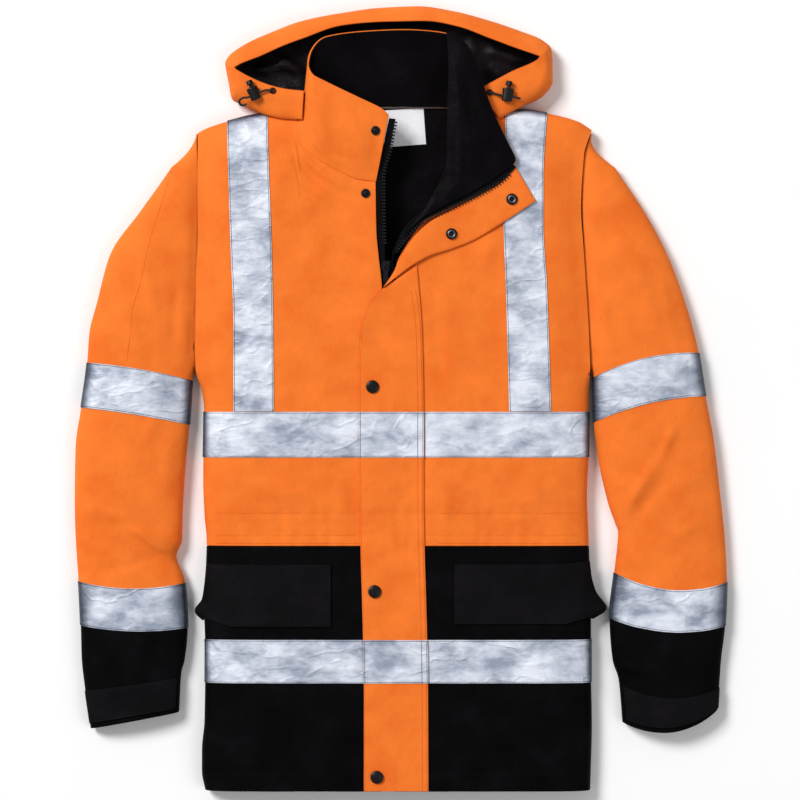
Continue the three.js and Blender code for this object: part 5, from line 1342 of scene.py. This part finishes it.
CAP = [(0, 0), (7.5, 0), (7.5, 1.3), (7.0, 2.0), (5.9, 2.5), (5.2, 2.5), (4.9, 2.75), (3, 3.05), (0, 3.1)]
STUD = [(0, 0), (5.25, 0), (5.25, 1), (4.6, 1.3), (3.4, 1.2), (2.5, 1.1), (2.2, 1.6), (2.45, 2.5), (2.2, 3.1),
        (0, 3.3)]
SOCKET = [(0, 0), (6.55, 0), (6.55, 1.2), (6, 1.9), (5, 2), (3.4, 2), (2.9, 1.8), (2.6, 0.9), (0, 0.9)]
EYELET = [(1.75, 0.2), (3.7, 0), (3.6, 0.9), (2.9, 1.45), (2.2, 1.5), (1.75, 1.2), (1.75, 0.2)]
INNER_RING = [(2.9, 0), (4.5, 0), (4.4, 0.5), (3.7, 0.8), (3.0, 0.5), (2.9, 0)]
SNAPS = {"snap_cap_chest": (-33, 13), "snap_cap_pocket": (-30.5, -223), "snap_cap_hem": (-28, -437)}
SOCKETS = {"snap_socket_low": (58, 189, 1.4), "snap_socket_high": (127.5, 229, 2.1)}
EYES = {RIGHT: (-148, 354, 35.4), LEFT: (102, 352, 34.4)}

for name, (x, y) in SNAPS.items():
    lathe(name, "_domed", CAP, (x, y, float(body_top(x, y)) + FLAP_Z + SHELL), 0.35)
lathe("snap_stud_front", "_turned", STUD, (-41, 236, float(body_top(-41.0, 236.0))), 0.3)
lathe("snap_stud_collar", "_turned", STUD, collar_point(0.95, 0.68), 0.5, up=(0.05, -0.02, 1))
for ending, profile, lift, look in (("_turned", SOCKET, 0.75, "metal"), ("_ring", INNER_RING, 2.55, "steel")):
    for name, (x, y, dz) in SOCKETS.items():
        lathe(name, ending, profile, (x, y, float(front_top(x, y)) + dz + SHELL), lift, look)
for hand, at in EYES.items():
    lathe("eyelet_" + NAME[hand], "_rolled", EYELET, at, 0.6)


def finish_solid(name, material, bevel):
    """Gives a CAD node its material and eases its edges."""
    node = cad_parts[name]
    if not node.material_slots:
        node.data.materials.append(material)
    for place in node.material_slots:
        place.link = "OBJECT"
        place.material = material
    weld = node.modifiers.new("weld", "WELD")
    weld.merge_threshold = 0.00002
    ease_edges = node.modifiers.new("ease", "BEVEL")
    ease_edges.width = bevel * MM
    ease_edges.segments = 3
    ease_edges.limit_method = "ANGLE"
    ease_edges.angle_limit = math.radians(35)


finish_solid("zip_slider", finish["metal"], 0.5)
finish_solid("zip_pull", finish["metal"], 0.3)
for part, bevel in (("cord_lock_", 1.3), ("cord_plunger_", 0.5)):
    for side in NAME.values():
        finish_solid(part + side, finish["plastic"], bevel)

# Stitches and zip teeth

THREAD_OVER = 0.12  # height of a stitch's middle over the cloth


def strung(line, up, pitch, shape):
    """Copies of a small shape along a line: its x follows the line, z follows up and y goes across."""
    way = way_along(line)
    spots = np.arange(pitch / 2, way[-1], pitch)
    ahead = unit(at_way(spots + 0.4 * pitch, way, line) - at_way(spots - 0.4 * pitch, way, line))
    across = unit(np.cross(at_way(spots, way, up), ahead))
    return framed(at_way(spots, way, line), shape, ahead, across, np.cross(ahead, across))


def framed(centre, shape, along, across, over):
    """Copies of a shape at some centres, its x, y and z along the three given directions."""
    return (
        centre[:, None]
        + shape[None, :, :1] * along[:, None]
        + shape[None, :, 1:2] * across[:, None]
        + shape[None, :, 2:] * over[:, None]
    )


def bead(long, wide, high):
    """A small rounded stitch: three rings of five points and two end points."""
    turn = np.linspace(0, FULL_TURN, 6)[:-1]
    points = [(-0.5 * long, 0, 0)]
    for x, size in ((-0.33 * long, 0.8), (0.0, 1.0), (0.33 * long, 0.8)):
        points += [(x, size * wide / 2 * math.cos(a), size * high * math.sin(a)) for a in turn]
    points.append((0.5 * long, 0, 0))
    faces = [(0, 1 + (k + 1) % 5, 1 + k) for k in range(5)]
    for a, b in ((1, 6), (6, 11)):
        for k in range(5):
            j = (k + 1) % 5
            faces += [(a + k, a + j, b + j), (a + k, b + j, b + k)]
    faces += [(16, 11 + k, 11 + (k + 1) % 5) for k in range(5)]
    return np.array(points), np.array(faces)


def tooth():
    """A moulded tooth: a block that narrows to a rounded head."""
    half = [(0.95, -1.6), (0.8, 0.9), (1.15, 1.5), (0.7, 2.5)]
    outline = np.array([(-0.95, -1.6)] + half + [(-x, y) for x, y in half[:0:-1]])
    n = len(outline)
    low = np.concatenate([outline, np.full((n, 1), -0.9)], axis=1)
    high = np.concatenate([outline * 0.92, np.full((n, 1), 1.0)], axis=1)
    faces = [(k, (k + 1) % n, n + (k + 1) % n) for k in range(n)]
    faces += [(k, n + (k + 1) % n, n + k) for k in range(n)]
    faces += [(0, k + 1, k) for k in range(1, n - 1)] + [(n, n + k, n + k + 1) for k in range(1, n - 1)]
    return np.concatenate([low, high]), np.array(faces)


def copies_mesh(name, copies, faces, smooth_faces=True):
    """One mesh of many copies of a small shape."""
    count, points = copies.shape[:2]
    all_faces = (faces[None] + (np.arange(count) * points)[:, None, None]).reshape(-1, 3)
    return make_mesh(name, copies, all_faces, smooth_faces=smooth_faces)


def stitches(name, lines, pitch, shape, thread):
    """One piece of all the stitches along several lines, each line given with its upward vectors."""
    copies = np.concatenate([strung(line, up, pitch, shape[0]) for line, up in lines])
    copies[..., 2] = np.maximum(copies[..., 2], 0)  # stitches under the jacket are pressed flat
    place_piece(name, copies_mesh(name, copies, shape[1]), [finish[thread]], [])


def edge_line(name, where):
    """The stitched line just inside one edge of a piece, with the cloth's normals along it."""
    top = outside[name]
    over = normals(top, False)
    if over[..., 2].mean() < 0:
        over = -over
    pick = {
        "first": (STITCH_ROW, slice(None)), "last": (-1 - STITCH_ROW, slice(None)),
        "left": (slice(None), STITCH_ROW), "right": (slice(None), -1 - STITCH_ROW),
    }[where]
    return top[pick] + over[pick] * THREAD_OVER, over[pick]


def edge_lines(name, *where):
    """Several of them."""
    return [edge_line(name, edge) for edge in where]


def ring_line(name, row):
    """The same on a sleeve's tape, whose rows close round the sleeve, for its upper side."""
    top = outside[name]
    over = normals(top, True)
    if (over[row] * (top[row] - top[row].mean(axis=0)))[:, 2].sum() < 0:
        over = -over
    use = top[row][:, 2] > 6
    start = int(np.argmax(use & ~np.roll(use, 1)))
    order = np.roll(np.arange(len(use)), -start)[: int(use.sum())]
    return top[row][order] + over[row][order] * THREAD_OVER, over[row][order]


def upward(line):
    """A line with vectors straight up along it."""
    return line, np.broadcast_to(np.array([0.0, 0.0, 1.0]), line.shape)


def over_body(x, y, lift):
    """A line over the fronts at a height over them."""
    return upward(point(x, y, body_top(x, y) + lift))


def on_front(hand, q0, q1, y):
    """A level line over one front from q0 to q1."""
    line = front_point(hand, np.linspace(q0, q1, 140), np.full(140, float(y)))
    line[:, 2] += 0.1
    return upward(line)


def over_piece(name, x, y):
    """A smooth line through named spots on a piece's upper side."""
    spots = np.linspace(0, len(x) - 1, 160)
    px, py = (smooth(np.arange(len(v), dtype=float), np.array(v, float), spots) for v in (x, y))
    top = outside[name].reshape(-1, 3)
    top = top[top[:, 2] > 14]
    far = (top[None, :, 0] - px[:, None]) ** 2 + (top[None, :, 1] - py[:, None]) ** 2
    weight = 1 / (far + 0.4) ** 2
    z = (weight * top[None, :, 2]).sum(axis=1) / weight.sum(axis=1)
    return upward(point(px, py, z + THREAD_OVER))


def beside_flap(y, inset, lift):
    """A line along the storm flap, a way in from its fixed edge."""
    return over_body(smooth(FLAP["fy"], FLAP["gx"], y) - inset, y, lift)


STITCH = bead(2.5, 0.55, 0.22)
TAPE_STITCH = bead(2.7, 0.8, 0.25)
PITCH, TAPE_PITCH, TEETH_PITCH = 3.1, 2.9, 3.8

lines = []
for side in NAME.values():
    for band in BAND:
        lines += edge_lines("tape_%s_%s" % (band, side), "first", "last")
    lines += edge_lines("tape_shoulder_" + side, "left", "right")
    for band in SLEEVE_BANDS:
        lines += [ring_line("tape_sleeve_%s_%s" % (band, side), row) for row in (STITCH_ROW, -1 - STITCH_ROW)]
for band, heights in BAND.items():
    lines += edge_lines("tape_%s_flap" % band, "first", "last", "left", "right")
    lines.append(beside_flap(np.linspace(*heights, 30), 7.0, FLAP_Z + SHELL + GAP + TAPE + THREAD_OVER))
stitches("stitches_on_tapes", lines, TAPE_PITCH, TAPE_STITCH, "grey thread")

lines = edge_lines("storm_flap", "left")
for y in (np.linspace(-453, -330, 60), np.linspace(-278, -69, 100), np.linspace(-15, 124, 80)):
    lines += [beside_flap(y, inset, FLAP_Z + SHELL + 0.1) for inset in (7.0, 1.8)]
for level in GATHERED:
    lines += [on_front(RIGHT, 12, 176, level), on_front(LEFT, 12, 186, level)]
lines += [on_front(hand, 12, 176, SEAM_Y + 3.4) for hand in (RIGHT, LEFT)]
lines += edge_lines("storm_flap_top", "first", "last", "left")
lines += edge_lines("collar_shell", "last") + edge_lines("hood_brim", "last", "first")
lines.append(over_piece("sleeve_right", (-265.5, -279, -291, -300, -310.5, -313, -317),
                        (262.5, 217, 179, 137, 99, 70.5, 42)))
stitches("stitches_on_orange", lines, PITCH, STITCH, "orange thread")

lines = []
for hand in (RIGHT, LEFT):
    lines.append(on_front(hand, 12, 182, HEM_LINE))
    lines += edge_lines("pocket_flap_" + NAME[hand], "last", "left", "right")
    lines += edge_lines("cuff_tab_" + NAME[hand], "first", "last")
lines += edge_lines("lapel_lining", "right")
stitches("stitches_on_black", lines, PITCH, STITCH, "black thread")


def teeth(side, tape, column, first, last, beside):
    """Teeth along a zip tape's edge, each with its head pointing out across the tape.

    column is the edge's column of the tape's grid and beside the next one in. first and last are shares of
    its rows.
    """
    part = tape[int(first * len(tape)) : int(last * len(tape))]
    edge = part[:, column]
    ahead = tangent(np.concatenate([edge[:1], edge[:-1]]), edge, np.concatenate([edge[1:], edge[-1:]]))
    across = unit(edge - part[:, beside])
    across = unit(across - ahead * (across * ahead).sum(axis=1, keepdims=True))
    up = np.cross(ahead, across)
    up *= np.sign(up[:, 2:3] + 1e-9)
    line = edge + across * 0.3 + up * 0.5
    way = way_along(line)
    spots = np.arange(TEETH_PITCH / 2, way[-1], TEETH_PITCH)
    out = unit(at_way(spots, way, across))
    along = unit(np.cross(out, at_way(spots, way, up)))
    points, faces = tooth()
    copies = framed(at_way(spots, way, line), points, along, out, np.cross(along, out))
    mesh = copies_mesh("zip_teeth_" + side, copies, faces, False)
    fix_faces(mesh)
    place_piece("zip_teeth_" + side, mesh, [finish["teeth"]], [])


teeth("right", zip_right_grid, -1, 0.68, 0.995, -2)
teeth("left", zip_left_grid, 0, 0.62, 0.977, 1)

# Floor and light

WORLD_LIGHT = 0.30
LAMPS = (  # name, place, width, power
    ("key", (-4.5, 3.9, 5.85), 2.85, 657.0),
    ("fill", (2.2, -1.2, 2.8), 2.4, 30.0),
)


def studio():
    """A pale floor, white surroundings and large soft lamps that look at the middle of the floor."""
    size, low = 6.0, -0.0004
    mesh = bpy.data.meshes.new("floor")
    corners = [(-size, -size, low), (size, -size, low), (size, size, low), (-size, size, low)]
    mesh.from_pydata(corners, [], [(0, 1, 2, 3)])
    m = Maker("pale floor")
    tone = m.ramp(m.noise("Object", 3.0), "Fac", [(0.3, (0.93, 0.93, 0.93)), (0.7, (0.95, 0.95, 0.95))])
    m.link(tone, "Color", m.shader, "Base Color")
    m.shade(Roughness=0.9)
    mesh.materials.append(m.material)
    floor = bpy.data.objects.new("floor", mesh)
    bpy.context.scene.collection.objects.link(floor)
    world = bpy.data.worlds.new("studio")
    world.use_nodes = True
    world.node_tree.nodes["Background"].inputs["Color"].default_value = (1, 1, 1, 1)
    world.node_tree.nodes["Background"].inputs["Strength"].default_value = WORLD_LIGHT
    bpy.context.scene.world = world
    for name, place, wide, power in LAMPS:
        data = bpy.data.lights.new(name, "AREA")
        data.shape = "SQUARE"
        data.size = wide
        data.energy = power
        lamp = bpy.data.objects.new(name, data)
        lamp.location = place
        x, y, z = place
        lamp.rotation_euler = (math.atan2(math.hypot(x, y), z), 0, math.atan2(-y, -x) - math.pi / 2)
        bpy.context.scene.collection.objects.link(lamp)
    bpy.context.scene.view_settings.view_transform = "Standard"


studio()
